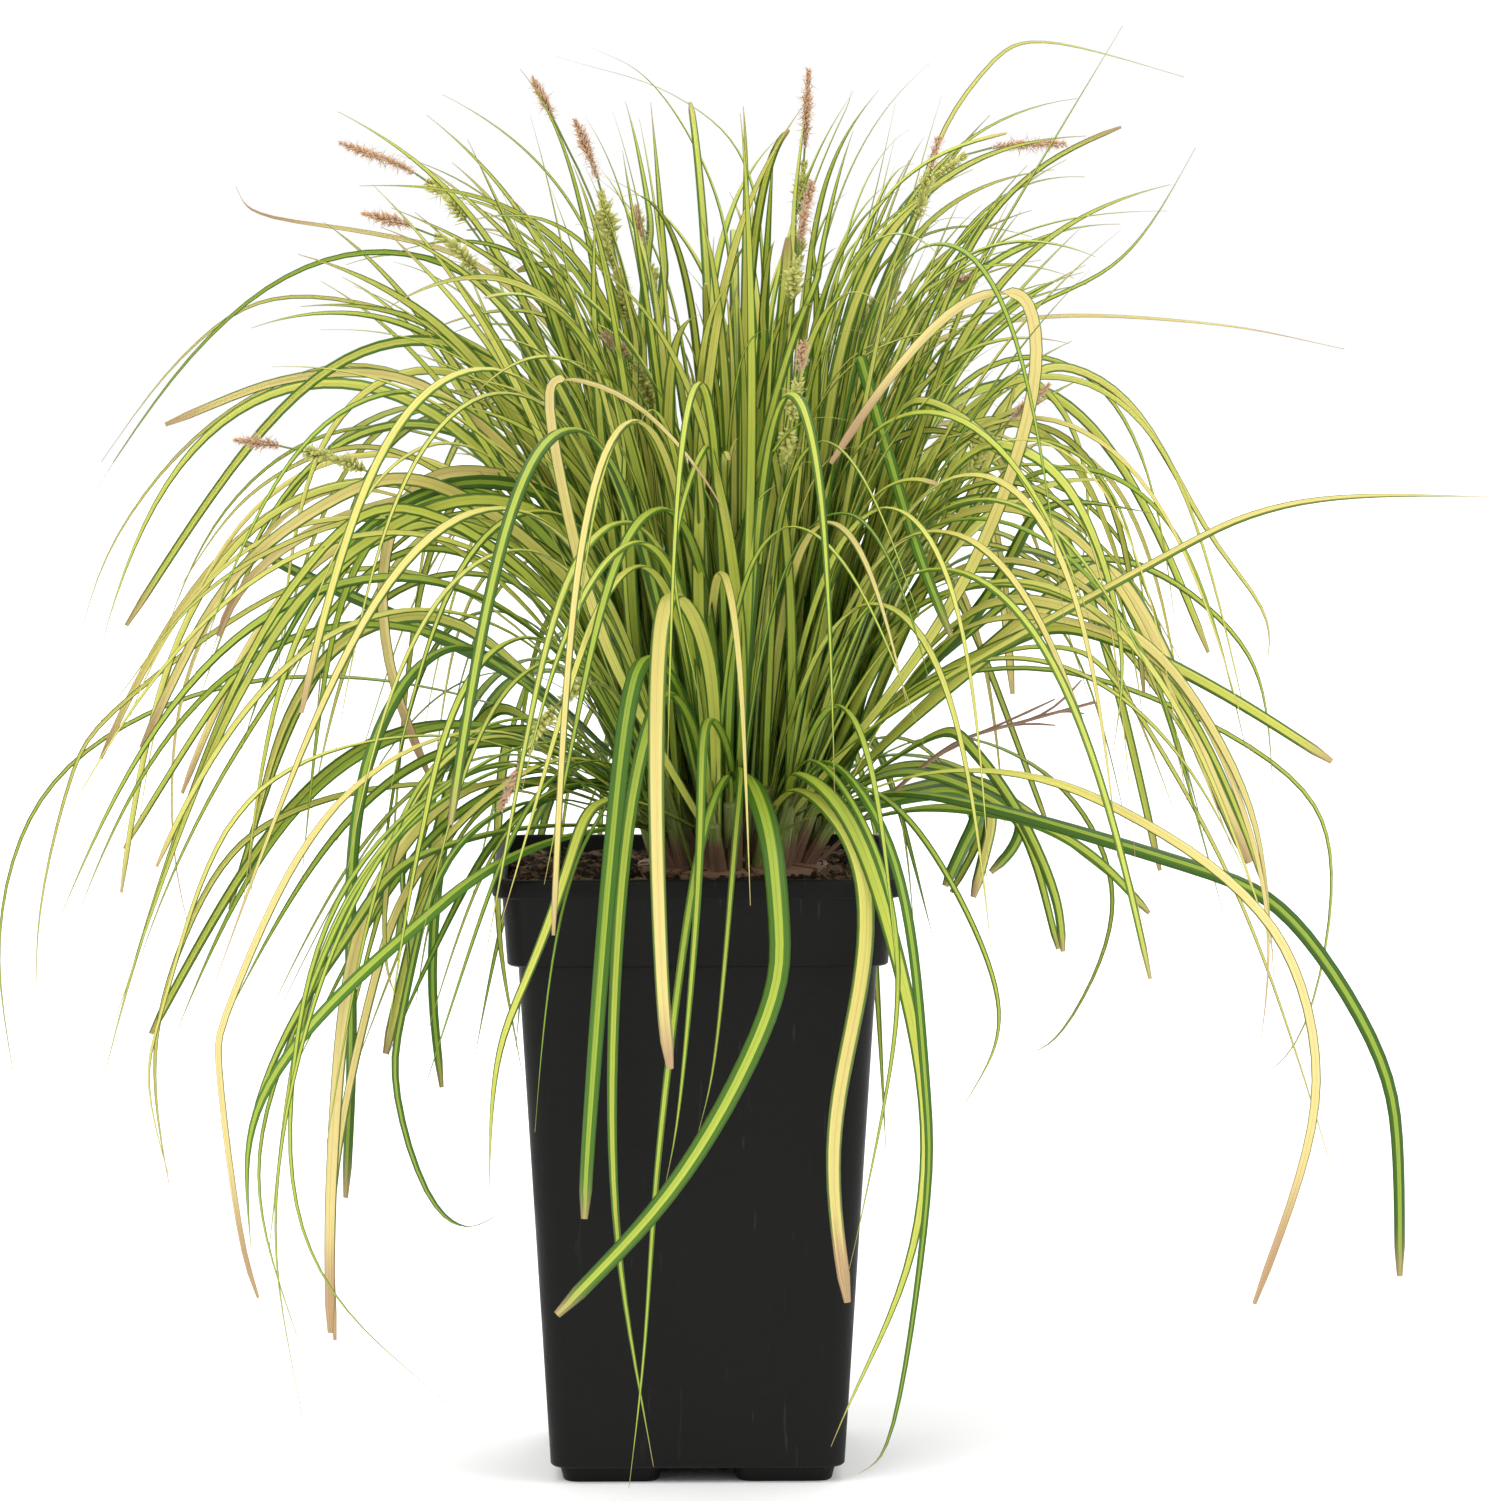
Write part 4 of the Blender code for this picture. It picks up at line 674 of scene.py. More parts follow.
class SedgeLeafSettings(bpy.types.PropertyGroup):
    """Sizes and colours of the leaves"""

    blade_sections: count_property("Blade sections", "Runs along each leaf", 8, 40)
    profile_points: count_property("Profile points", "Points round a leaf's section", 6, 8)
    core_leaves: count_property("Core leaves", "Upright leaves added to each tuft", 0, 24)
    outer_leaves: count_property("Outer leaves", "Arching leaves added to each tuft", 0, 15)
    fine_leaves: count_property("Fine leaves", "Thin leaves added to each tuft", 0, 8)
    keel: share_property("Keel", "Depth of a leaf's keel as a share of its half width", 0.42)
    thickness: share_property("Thickness", "Half thickness as a share of the half width", 0.09)
    margin: colour_property("Margin", "Dark green of the leaf edges", (0.018, 0.078, 0.006))
    bright_margin: colour_property("Bright margin", "Fresh green of some leaf edges", (0.072, 0.215, 0.012))
    stripe: colour_property("Stripe", "Yellow green of the leaf centre", (0.58, 0.63, 0.085))
    cream: colour_property("Cream", "Pale centre of an old leaf", (0.84, 0.68, 0.27))
    dry: colour_property("Dry", "Tip that has dried", (0.34, 0.19, 0.09))
    sheath: colour_property("Sheath", "Purple brown of the sheaths", (0.165, 0.088, 0.055))


class SedgeFlowerSettings(bpy.types.PropertyGroup):
    """Sizes and colours of the flower stems and their spikes"""

    grain_length: length_property("Grain length", "Length of a green grain with its beak", 0.0048)
    grain_spacing: length_property("Grain spacing", "Distance along the spike from grain to grain", 0.00034)
    anther_length: length_property("Anther length", "Length of a thread on a brown spike", 0.0046)
    anther_spacing: length_property("Anther spacing", "Distance along the spike between threads", 0.00012)
    culm: colour_property("Culm", "Green of the flower stems", (0.27, 0.33, 0.06))
    grain: colour_property("Grain", "Yellow green of the female spikes", (0.78, 0.82, 0.17))
    scale: colour_property("Scale", "Rust of the male spikes", (0.92, 0.56, 0.32))
    anther: colour_property("Anther", "Salmon threads of the male spikes", (1.00, 0.74, 0.52))


class SedgePotSettings(bpy.types.PropertyGroup):
    """Colours of the pot and the soil"""

    plastic: colour_property("Plastic", "Black of the pot", (0.0055, 0.0053, 0.0050))
    peat: colour_property("Peat", "Dark brown of the soil", (0.026, 0.015, 0.010))
    bark: colour_property("Bark", "Red brown of the chips and fibres", (0.15, 0.085, 0.048))
    chips: count_property("Chips", "Bark chips and crumbs to a square metre", 0, 60000)
    fibres: count_property("Fibres", "Fibres to a square metre", 0, 16000)


class SedgeStageSettings(bpy.types.PropertyGroup):
    """Floor and light"""

    floor: colour_property("Floor", "Pale floor", (0.94, 0.94, 0.94))
    sky: share_property("Sky", "Strength of the light from all round", 0.80)
    key: share_property("Key", "Strength of the soft suns", 1.9)


# The part of a noise that is spread to go from 0 to 1, and how much finer the second noise is
NOISE_RANGE = (0.30, 0.70)
GRAIN_FINENESS = 9.0

# Fine lines: how often they change along the length, and how far apart two seeds lie in the noise
LINE_CHANGES = 2.2
SEED_SPREAD = 57.0


# Nodes

def add_node(tree, kind, inputs=None, **settings):
    """Adds a node. Each input is a plain value, or the output socket that feeds it."""
    made = tree.nodes.new(kind)
    for key, value in settings.items():
        setattr(made, key, value)
    for key, value in (inputs or {}).items():
        if isinstance(key, int):
            socket = made.inputs[key]
        else:
            socket = next(s for s in made.inputs if s.name == key and s.enabled)
        if isinstance(value, bpy.types.NodeSocket):
            tree.links.new(value, socket)
        else:
            socket.default_value = value
    return made


def first_output(made):
    return next(s for s in made.outputs if s.enabled)


def maths(tree, operation, a, b=0.0, c=0.0):
    """The output of one Math node."""
    return add_node(tree, "ShaderNodeMath", {0: a, 1: b, 2: c}, operation=operation).outputs[0]


def vector_maths(tree, operation, a, b=(0.0, 0.0, 0.0)):
    return add_node(tree, "ShaderNodeVectorMath", {0: a, 1: b}, operation=operation).outputs[0]


def scaled(tree, vector, factor):
    return add_node(tree, "ShaderNodeVectorMath", {0: vector, "Scale": factor}, operation="SCALE").outputs[0]


def new_group(name, kind, inputs, outputs):
    """A node group with named sockets, and its input and output nodes."""
    tree = bpy.data.node_groups.new(name, kind)
    for label, socket_type in inputs:
        tree.interface.new_socket(label, in_out="INPUT", socket_type="NodeSocket" + socket_type)
    for label, socket_type in outputs:
        tree.interface.new_socket(label, in_out="OUTPUT", socket_type="NodeSocket" + socket_type)
    return tree, tree.nodes.new("NodeGroupInput").outputs, tree.nodes.new("NodeGroupOutput").inputs


def named(tree, name, data_type="FLOAT"):
    """A named attribute in a Geometry Nodes tree."""
    made = add_node(tree, "GeometryNodeInputNamedAttribute", {"Name": name}, data_type=data_type)
    return first_output(made)


def chance(tree, low, high, seed, data_type="FLOAT"):
    """A random value for each point in a Geometry Nodes tree."""
    inputs = {"Min": low, "Max": high, "Seed": seed}
    return first_output(add_node(tree, "FunctionNodeRandomValue", inputs, data_type=data_type))


def place_axes(tree):
    """The place of each point in a Geometry Nodes tree, as its X, Y and Z."""
    place = add_node(tree, "GeometryNodeInputPosition").outputs[0]
    return add_node(tree, "ShaderNodeSeparateXYZ", {0: place}).outputs


def stored(tree, geometry, name, value, domain="POINT"):
    """The geometry with a value kept under a name."""
    inputs = {"Geometry": geometry, "Name": name, "Value": value}
    made = add_node(tree, "GeometryNodeStoreNamedAttribute", inputs, data_type="FLOAT", domain=domain)
    return made.outputs[0]


def finished(tree, geometry, material, smooth=True):
    """Shading, material and realised instances, which end every tree."""
    made = add_node(tree, "GeometryNodeRealizeInstances", {"Geometry": geometry}).outputs[0]
    inputs = {"Geometry": made, "Shade Smooth": smooth}
    made = add_node(tree, "GeometryNodeSetShadeSmooth", inputs).outputs[0]
    return add_node(tree, "GeometryNodeSetMaterial", {"Geometry": made, "Material": material}).outputs[0]


def grown(mesh, tree, **values):
    """The plain mesh that a tree grows from a base mesh, with the tree's named inputs set."""
    obj = bpy.data.objects.new("base", mesh)
    bpy.context.scene.collection.objects.link(obj)
    modifier = obj.modifiers.new("grow", "NODES")
    modifier.node_group = tree
    for item in tree.interface.items_tree:
        label = item.name.lower().replace(" ", "_")
        if item.in_out == "INPUT" and label in values:
            modifier[item.identifier] = values[label]
    graph = bpy.context.evaluated_depsgraph_get()
    result = bpy.data.meshes.new_from_object(obj.evaluated_get(graph))
    bpy.data.objects.remove(obj, do_unlink=True)
    bpy.data.meshes.remove(mesh)
    return result


def shade_group(name, inputs, outputs):
    if name in bpy.data.node_groups:
        return bpy.data.node_groups[name], None, None
    return new_group(name, "ShaderNodeTree", inputs, outputs)


def use_group(tree, group, **values):
    made = tree.nodes.new("ShaderNodeGroup")
    made.node_tree = group
    for label, value in values.items():
        socket = made.inputs[label.replace("_", " ").capitalize()]
        if isinstance(value, bpy.types.NodeSocket):
            tree.links.new(value, socket)
        else:
            socket.default_value = value
    return made.outputs


def mixed(tree, factor, a, b):
    """Colour a where the factor is 0 and colour b where it is 1."""
    made = tree.nodes.new("ShaderNodeMix")
    made.data_type = "RGBA"
    for socket, value in ((made.inputs["Factor"], factor), (made.inputs[6], a), (made.inputs[7], b)):
        if isinstance(value, bpy.types.NodeSocket):
            tree.links.new(value, socket)
        elif socket.type == "RGBA":
            socket.default_value = (*value[:3], 1.0)
        else:
            socket.default_value = value
    return made.outputs[2]


def ranged(tree, value, low, high, to_low=0.0, to_high=1.0):
    """A value carried smoothly from one range on to another."""
    inputs = {"Value": value, "From Min": low, "From Max": high, "To Min": to_low, "To Max": to_high}
    made = add_node(tree, "ShaderNodeMapRange", inputs, interpolation_type="SMOOTHSTEP")
    return made.outputs[0]


def coloured(tree, factor, stops):
    """A colour ramp: the colour at each of several places from 0 to 1."""
    ramp = add_node(tree, "ShaderNodeValToRGB", {"Fac": factor})
    first, *middle, last = stops
    ramp.color_ramp.elements[0].color = (*first[1], 1.0)
    ramp.color_ramp.elements[1].color = (*last[1], 1.0)
    for place, colour in middle:
        ramp.color_ramp.elements.new(place).color = (*colour, 1.0)
    return ramp.outputs[0]


def lined(tree, count):
    """Fine lines along a leaf, sheath or stem, from what its points carry."""
    values = {label: attribute(tree, label.lower()) for label in ("Across", "Along", "Seed")}
    return use_group(tree, fine_lines(), **values, Lines=count)["Value"]


def fine_lines():
    """Shared: fine lines that run lengthwise, from a place across, a place along and a seed."""
    group, given, put = shade_group(
        "fine_lines",
        [("Across", "Float"), ("Along", "Float"), ("Seed", "Float"), ("Lines", "Float")],
        [("Value", "Float")],
    )
    if given:
        inputs = {
            "X": maths(group, "MULTIPLY", given["Across"], given["Lines"]),
            "Y": maths(group, "MULTIPLY", given["Along"], LINE_CHANGES),
            "Z": maths(group, "MULTIPLY", given["Seed"], SEED_SPREAD),
        }
        place = add_node(group, "ShaderNodeCombineXYZ", inputs).outputs[0]
        inputs = {"Vector": place, "Scale": 1.0, "Detail": 3.0, "Roughness": 0.6}
        lines = add_node(group, "ShaderNodeTexNoise", inputs).outputs[0]
        group.links.new(ranged(group, lines, *NOISE_RANGE), put["Value"])
    return group


def mottle():
    """Shared: soft patches of two sizes in object coordinates."""
    group, given, put = shade_group(
        "mottle", [("Size", "Float"), ("Detail", "Float")], [("Value", "Float"), ("Grain", "Float")]
    )
    if given:
        place = group.nodes.new("ShaderNodeTexCoord").outputs["Object"]
        wide = maths(group, "DIVIDE", 1.0, given["Size"])
        fine = maths(group, "MULTIPLY", wide, GRAIN_FINENESS)
        for scale, output in ((wide, "Value"), (fine, "Grain")):
            inputs = {"Vector": place, "Scale": scale, "Detail": given["Detail"]}
            patches = add_node(group, "ShaderNodeTexNoise", inputs).outputs[0]
            group.links.new(ranged(group, patches, *NOISE_RANGE), put[output])
    return group


def new_material(name):
    made = bpy.data.materials.new(name)
    made.use_nodes = True
    return made, made.node_tree, made.node_tree.nodes["Principled BSDF"]


def attribute(tree, name):
    return add_node(tree, "ShaderNodeAttribute", attribute_name=name).outputs["Fac"]


def bumped(tree, shader, height, distance, strength=1.0):
    bump = add_node(tree, "ShaderNodeBump", {"Height": height, "Distance": distance, "Strength": strength})
    tree.links.new(bump.outputs[0], shader.inputs["Normal"])


# Materials

def leaf_material(settings):
    """Variegated leaf: pale centre between green edges, fine lines, a dried tip and a darker foot."""
    material, tree, shader = new_material("sedge_leaf")
    across, along = attribute(tree, "across"), attribute(tree, "along")
    stripe, dry, seed = attribute(tree, "stripe"), attribute(tree, "dry"), attribute(tree, "seed")
    ripening = ranged(tree, along, *RIPENING)
    age = maths(tree, "MULTIPLY", attribute(tree, "age"), ripening)
    vivid = maths(tree, "FRACT", maths(tree, "MULTIPLY", seed, VIVID_SPREAD))
    lines, hair = lined(tree, LEAF_LINES), lined(tree, LEAF_HAIRS)
    ragged = maths(tree, "SUBTRACT", lines, 0.5)

    off_centre = maths(tree, "ABSOLUTE", across)
    wavered = maths(tree, "ADD", off_centre, maths(tree, "MULTIPLY", ragged, STRIPE_RAGGED))
    inner = maths(tree, "SUBTRACT", stripe, STRIPE_SOFT)
    outer = maths(tree, "ADD", stripe, STRIPE_SOFT)
    centre = ranged(tree, wavered, inner, outer, 1.0, 0.0)
    stripes = ((0.0, NEW_STRIPE), (STRIPE_AGE, settings.stripe), *RIPE_STRIPES, (1.0, settings.cream))
    pale = coloured(tree, age, stripes)
    edge = coloured(tree, age, ((0.0, settings.margin), *RIPE_MARGINS, (1.0, OLD_MARGIN)))
    margin = mixed(tree, maths(tree, "MULTIPLY", vivid, VIVID_SHARE), edge, settings.bright_margin)
    green = mixed(tree, maths(tree, "MULTIPLY", hair, LINE_SHARE), margin, pale)
    yellow = mixed(tree, maths(tree, "MULTIPLY", lines, LINE_SHARE), pale, margin)
    keel = ranged(tree, off_centre, *KEEL_FADE)
    colour = mixed(tree, keel, mixed(tree, centre, green, yellow), margin)

    tip_start = maths(tree, "SUBTRACT", 1.0, dry)
    low = maths(tree, "SUBTRACT", tip_start, TIP_SOFT[0])
    high = maths(tree, "ADD", tip_start, TIP_SOFT[1])
    wandering = maths(tree, "ADD", along, maths(tree, "MULTIPLY", ragged, TIP_RAGGED))
    tip = ranged(tree, wandering, low, high)
    colour = mixed(tree, tip, colour, mixed(tree, hair, settings.dry, PALE_TIP))
    foot = ranged(tree, along, *FOOT_FADE)
    foot_colour = mixed(tree, ranged(tree, vivid, *FOOT_CHOICE), settings.sheath, GREEN_FOOT)
    tree.links.new(mixed(tree, foot, colour, foot_colour), shader.inputs["Base Color"])
    tree.links.new(ranged(tree, tip, *TIP_ROUGHNESS), shader.inputs["Roughness"])
    shader.inputs["Specular IOR Level"].default_value = 0.28
    bumped(tree, shader, hair, 0.00016, 0.6)
    return material


def sheath_material(settings):
    """Purple brown, fresh green at the top, with lengthwise lines."""
    material, tree, shader = new_material("sedge_sheath")
    along, seed = attribute(tree, "along"), attribute(tree, "seed")
    lines = lined(tree, 14.0)
    dark = mixed(tree, lines, settings.sheath, PALE_SHEATH)
    fresh = mixed(tree, lines, FRESH_SHEATH, PALE_FRESH_SHEATH)
    reach = maths(tree, "SUBTRACT", 0.55, maths(tree, "MULTIPLY", seed, 0.75))
    risen = ranged(tree, along, reach, maths(tree, "ADD", reach, 0.35))
    tree.links.new(mixed(tree, risen, dark, fresh), shader.inputs["Base Color"])
    shader.inputs["Roughness"].default_value = 0.6
    bumped(tree, shader, lines, 0.0003)
    return material


def grain_material(name, base, tip, roughness):
    """Small scales and grains: dark at the root, the tip's colour at the end, each a little different."""
    material, tree, shader = new_material(name)
    out, shade = attribute(tree, "out"), attribute(tree, "shade")
    colour = mixed(tree, ranged(tree, out, -0.6, 0.8), [0.55 * c for c in base], tip)
    colour = mixed(tree, maths(tree, "MULTIPLY", shade, 0.35), colour, [0.5 * c for c in base])
    tree.links.new(colour, shader.inputs["Base Color"])
    shader.inputs["Roughness"].default_value = roughness
    grain = use_group(tree, mottle(), Size=0.002, Detail=2.0)["Grain"]
    bumped(tree, shader, grain, 0.0001)
    return material


def stem_material(name, colour, dark):
    material, tree, shader = new_material(name)
    lines = lined(tree, 5.0)
    patches = use_group(tree, mottle(), Size=0.02, Detail=3.0)["Value"]
    blend = maths(tree, "MULTIPLY", maths(tree, "ADD", lines, patches), 0.4)
    tree.links.new(mixed(tree, blend, colour, dark), shader.inputs["Base Color"])
    shader.inputs["Roughness"].default_value = 0.55
    bumped(tree, shader, lines, 0.0002)
    return material


def streaks(tree, scale, detail):
    """Noise drawn out along some of the object's axes: the smaller the scale, the longer the streaks."""
    place = tree.nodes.new("ShaderNodeTexCoord").outputs["Object"]
    stretched = add_node(tree, "ShaderNodeMapping", {"Vector": place, "Scale": scale}).outputs[0]
    inputs = {"Vector": stretched, "Scale": 1.0, "Detail": detail}
    return add_node(tree, "ShaderNodeTexNoise", inputs).outputs[0]


def plastic_material(settings):
    """Near black moulded plastic with a satin face, faint scuffs and a little dust."""
    material, tree, shader = new_material("pot_plastic")
    patches = use_group(tree, mottle(), Size=0.045, Detail=4.0)
    brushed = streaks(tree, (90.0, 90.0, 520.0), 4.0)
    scratches = ranged(tree, streaks(tree, (420.0, 420.0, 26.0), 2.0), 0.66, 0.74)
    scuffs = maths(tree, "MULTIPLY", scratches, patches["Value"])
    worn = mixed(tree, maths(tree, "MULTIPLY", scuffs, 0.5), settings.plastic, SCUFF)
    dust = maths(tree, "MULTIPLY", patches["Value"], 0.35)
    tree.links.new(mixed(tree, dust, worn, DUST), shader.inputs["Base Color"])
    satin = ranged(tree, patches["Value"], 0.0, 1.0, 0.36, 0.50)
    rough = maths(tree, "ADD", satin, maths(tree, "MULTIPLY", brushed, 0.08))
    tree.links.new(rough, shader.inputs["Roughness"])
    shader.inputs["Specular IOR Level"].default_value = 0.13
    height = maths(tree, "ADD", maths(tree, "MULTIPLY", brushed, 0.5), patches["Grain"])
    bumped(tree, shader, height, 0.00012, 0.5)
    return material


def soil_material(name, colour, pale):
    material, tree, shader = new_material(name)
    patches = use_group(tree, mottle(), Size=0.006, Detail=5.0)
    blend = maths(tree, "MULTIPLY", patches["Value"], patches["Grain"])
    tree.links.new(mixed(tree, blend, colour, pale), shader.inputs["Base Color"])
    shader.inputs["Roughness"].default_value = 0.95
    shader.inputs["Specular IOR Level"].default_value = 0.2
    bumped(tree, shader, patches["Grain"], 0.0012)
    return material


# Geometry Nodes trees

def ring_profile(tree, points):
    """A circle with a radius of 1, whose points keep their place across it."""
    inputs = {"Resolution": points, "Radius": 1.0}
    ring = add_node(tree, "GeometryNodeCurvePrimitiveCircle", inputs).outputs[0]
    return stored(tree, ring, "across", place_axes(tree)["X"])


def swept(tree, curve, profile):
    """A closed skin: the profile carried along the curve, scaled by the half width of each point."""
    inputs = {"Curve": curve, "Profile Curve": profile, "Scale": named(tree, "half_width"), "Fill Caps": True}
    return add_node(tree, "GeometryNodeCurveToMesh", inputs).outputs[0]


def blade_tree():
    """Blades along midribs: a shallow keeled section, as wide as each point of the midrib says."""
    tree, given, put = new_group(
        "blades_on_midribs",
        "GeometryNodeTree",
        [("Midribs", "Geometry"), ("Keel", "Float"), ("Thickness", "Float"), ("Profile Points", "Int"),
         ("Material", "Material")],
        [("Blades", "Geometry")],
    )
    rib = add_node(tree, "GeometryNodeMeshToCurve", {"Mesh": given["Midribs"]}).outputs[0]
    rib = add_node(tree, "GeometryNodeSetCurveNormal", {"Curve": rib}, mode="FREE")
    tree.links.new(named(tree, "side", "FLOAT_VECTOR"), rib.inputs["Normal"])
    ring = ring_profile(tree, given["Profile Points"])
    axes = place_axes(tree)
    inward = maths(tree, "SUBTRACT", 1.0, maths(tree, "ABSOLUTE", axes["X"]))
    thickness = maths(tree, "MULTIPLY", axes["Y"], given["Thickness"])
    depth = maths(tree, "MULTIPLY_ADD", inward, given["Keel"], thickness)
    shaped = add_node(tree, "ShaderNodeCombineXYZ", {"X": axes["X"], "Y": depth}).outputs[0]
    profile = add_node(tree, "GeometryNodeSetPosition", {"Geometry": ring, "Position": shaped}).outputs[0]
    blade = swept(tree, rib.outputs[0], profile)
    tree.links.new(finished(tree, blade, given["Material"]), put["Blades"])
    return tree


def tube_tree():
    """Round stems carried along paths, as thick as each point says."""
    tree, given, put = new_group(
        "tubes_on_paths",
        "GeometryNodeTree",
        [("Paths", "Geometry"), ("Sides", "Int"), ("Material", "Material")],
        [("Tubes", "Geometry")],
    )
    path = add_node(tree, "GeometryNodeMeshToCurve", {"Mesh": given["Paths"]}).outputs[0]
    tube = swept(tree, path, ring_profile(tree, given["Sides"]))
    tree.links.new(finished(tree, tube, given["Material"]), put["Tubes"])
    return tree


def spike_tree():
    """Grains or threads set in a spiral round axes, leaning outwards, smaller towards both ends."""
    tree, given, put = new_group(
        "grains_round_axes",
        "GeometryNodeTree",
        [("Axes", "Geometry"), ("Spacing", "Float"), ("Length", "Float"), ("Slimness", "Float"),
         ("Lean", "Float"), ("Spread", "Float"), ("Core", "Float"), ("Sides", "Int"), ("Seed", "Int"),
         ("Material", "Material")],
        [("Grains", "Geometry")],
    )
    axis = add_node(tree, "GeometryNodeMeshToCurve", {"Mesh": given["Axes"]}).outputs[0]
    inputs = {"Curve": axis, "Length": given["Spacing"]}
    axis = add_node(tree, "GeometryNodeResampleCurve", inputs, mode="LENGTH").outputs[0]

    inputs = {"Segments": given["Sides"], "Rings": 4, "Radius": 1.0}
    ball = add_node(tree, "GeometryNodeMeshUVSphere", inputs).outputs[0]
    axes = place_axes(tree)
    ball = stored(tree, ball, "out", axes["Z"])
    narrowed = maths(tree, "MULTIPLY", maths(tree, "MAXIMUM", axes["Z"], 0.0), BEAK)
    slim = maths(tree, "MULTIPLY", maths(tree, "SUBTRACT", 1.0, narrowed), given["Slimness"])
    shaped = add_node(tree, "ShaderNodeCombineXYZ", {
        "X": maths(tree, "MULTIPLY", axes["X"], slim),
        "Y": maths(tree, "MULTIPLY", axes["Y"], slim),
        "Z": maths(tree, "ADD", axes["Z"], GRAIN_LIFT),
    }).outputs[0]
    grain = add_node(tree, "GeometryNodeSetPosition", {"Geometry": ball, "Position": shaped}).outputs[0]

    index = add_node(tree, "GeometryNodeInputIndex").outputs[0]
    jitter = chance(tree, *JITTER, given["Seed"])
    golden = maths(tree, "ADD", maths(tree, "MULTIPLY", index, GOLDEN_ANGLE), jitter)
    normal = add_node(tree, "GeometryNodeInputNormal").outputs[0]
    tangent = add_node(tree, "GeometryNodeInputTangent").outputs[0]
    third = vector_maths(tree, "CROSS_PRODUCT", tangent, normal)
    radial = vector_maths(
        tree, "ADD",
        scaled(tree, normal, maths(tree, "COSINE", golden)),
        scaled(tree, third, maths(tree, "SINE", golden)),
    )
    lean = maths(tree, "ADD", given["Lean"], maths(tree, "MULTIPLY", jitter, given["Spread"]))
    heading = vector_maths(
        tree, "ADD",
        scaled(tree, tangent, maths(tree, "COSINE", lean)),
        scaled(tree, radial, maths(tree, "SINE", lean)),
    )
    turned = add_node(tree, "FunctionNodeAlignRotationToVector", {"Vector": heading}, axis="Z").outputs[0]
    inputs = {"Geometry": axis, "Offset": scaled(tree, radial, given["Core"])}
    moved = add_node(tree, "GeometryNodeSetPosition", inputs).outputs[0]
    varied = maths(tree, "MULTIPLY", chance(tree, *GRAIN_SIZES, given["Seed"]), named(tree, "swell"))
    size = maths(tree, "MULTIPLY", maths(tree, "MULTIPLY", given["Length"], 0.5), varied)
    size = add_node(tree, "ShaderNodeCombineXYZ", {"X": size, "Y": size, "Z": size}).outputs[0]
    inputs = {"Points": moved, "Instance": grain, "Rotation": turned, "Scale": size}
    grains = add_node(tree, "GeometryNodeInstanceOnPoints", inputs).outputs[0]
    grains = stored(tree, grains, "shade", chance(tree, 0.0, 1.0, given["Seed"]), "INSTANCE")
    tree.links.new(finished(tree, grains, given["Material"]), put["Grains"])
    return tree


def litter_tree():
    """Chips and crumbs strewn on a surface, flattened, turned and sized at random."""
    tree, given, put = new_group(
        "litter_on_soil",
        "GeometryNodeTree",
        [("Surface", "Geometry"), ("Density", "Float"), ("Size", "Float"), ("Flatness", "Float"),
         ("Stretch", "Float"), ("Seed", "Int"), ("Material", "Material")],
        [("Litter", "Geometry")],
    )
    inputs = {"Mesh": given["Surface"], "Density": given["Density"], "Seed": given["Seed"]}
    points = add_node(tree, "GeometryNodeDistributePointsOnFaces", inputs)
    chip = add_node(tree, "GeometryNodeMeshIcoSphere", {"Radius": 1.0, "Subdivisions": 1}).outputs[0]
    inputs = {"X": given["Stretch"], "Y": 1.0, "Z": given["Flatness"]}
    shape = add_node(tree, "ShaderNodeCombineXYZ", inputs).outputs[0]
    chip = add_node(tree, "GeometryNodeTransform", {"Geometry": chip, "Scale": shape}).outputs[0]
    turn = chance(tree, *CHIP_TURNS, given["Seed"], "FLOAT_VECTOR")
    size = maths(tree, "MULTIPLY", chance(tree, *CHIP_SIZES, given["Seed"]), given["Size"])
    size = add_node(tree, "ShaderNodeCombineXYZ", {"X": size, "Y": size, "Z": size}).outputs[0]
    inputs = {"Points": points.outputs["Points"], "Instance": chip, "Rotation": turn, "Scale": size}
    litter = add_node(tree, "GeometryNodeInstanceOnPoints", inputs).outputs[0]
    tree.links.new(finished(tree, litter, given["Material"], smooth=False), put["Litter"])
    return tree


# Meshes

def closed_mesh(bm, name, material=None):
    """The mesh of a closed skin, with its faces turned outwards."""
    bmesh.ops.recalc_face_normals(bm, faces=bm.faces)
    mesh = bpy.data.meshes.new(name)
    bm.to_mesh(mesh)
    bm.free()
    if material:
        mesh.materials.append(material)
    return mesh


def runs_mesh(name, runs):
    """A mesh of bare edges with one run for each path, and what each point carries as attributes."""
    mesh = bpy.data.meshes.new(name)
    points = []
    edges = []
    columns = {}
    for run in runs:
        first = len(points)
        points.extend(run["points"])
        edges.extend((i, i + 1) for i in range(first, len(points) - 1))
        for key, value in run["carried"].items():
            values = value if isinstance(value, list) else [value] * len(run["points"])
            columns.setdefault(key, []).extend(values)
    mesh.from_pydata([p * MM for p in points], edges, [])
    for key, values in columns.items():
        if isinstance(values[0], Vector):
            made = mesh.attributes.new(key, "FLOAT_VECTOR", "POINT")
            made.data.foreach_set("vector", [c for v in values for c in v])
        else:
            mesh.attributes.new(key, "FLOAT", "POINT").data.foreach_set("value", values)
    return mesh


def joined(meshes):
    """Several meshes as one, with each one's materials and attributes kept."""
    collection = bpy.context.scene.collection
    objects = [bpy.data.objects.new("part", mesh) for mesh in meshes]
    for obj in objects:
        collection.objects.link(obj)
    first = objects[0]
    with bpy.context.temp_override(active_object=first, object=first, selected_editable_objects=objects):
        bpy.ops.object.join()
    mesh = first.data
    bpy.data.objects.remove(first, do_unlink=True)
    return mesh


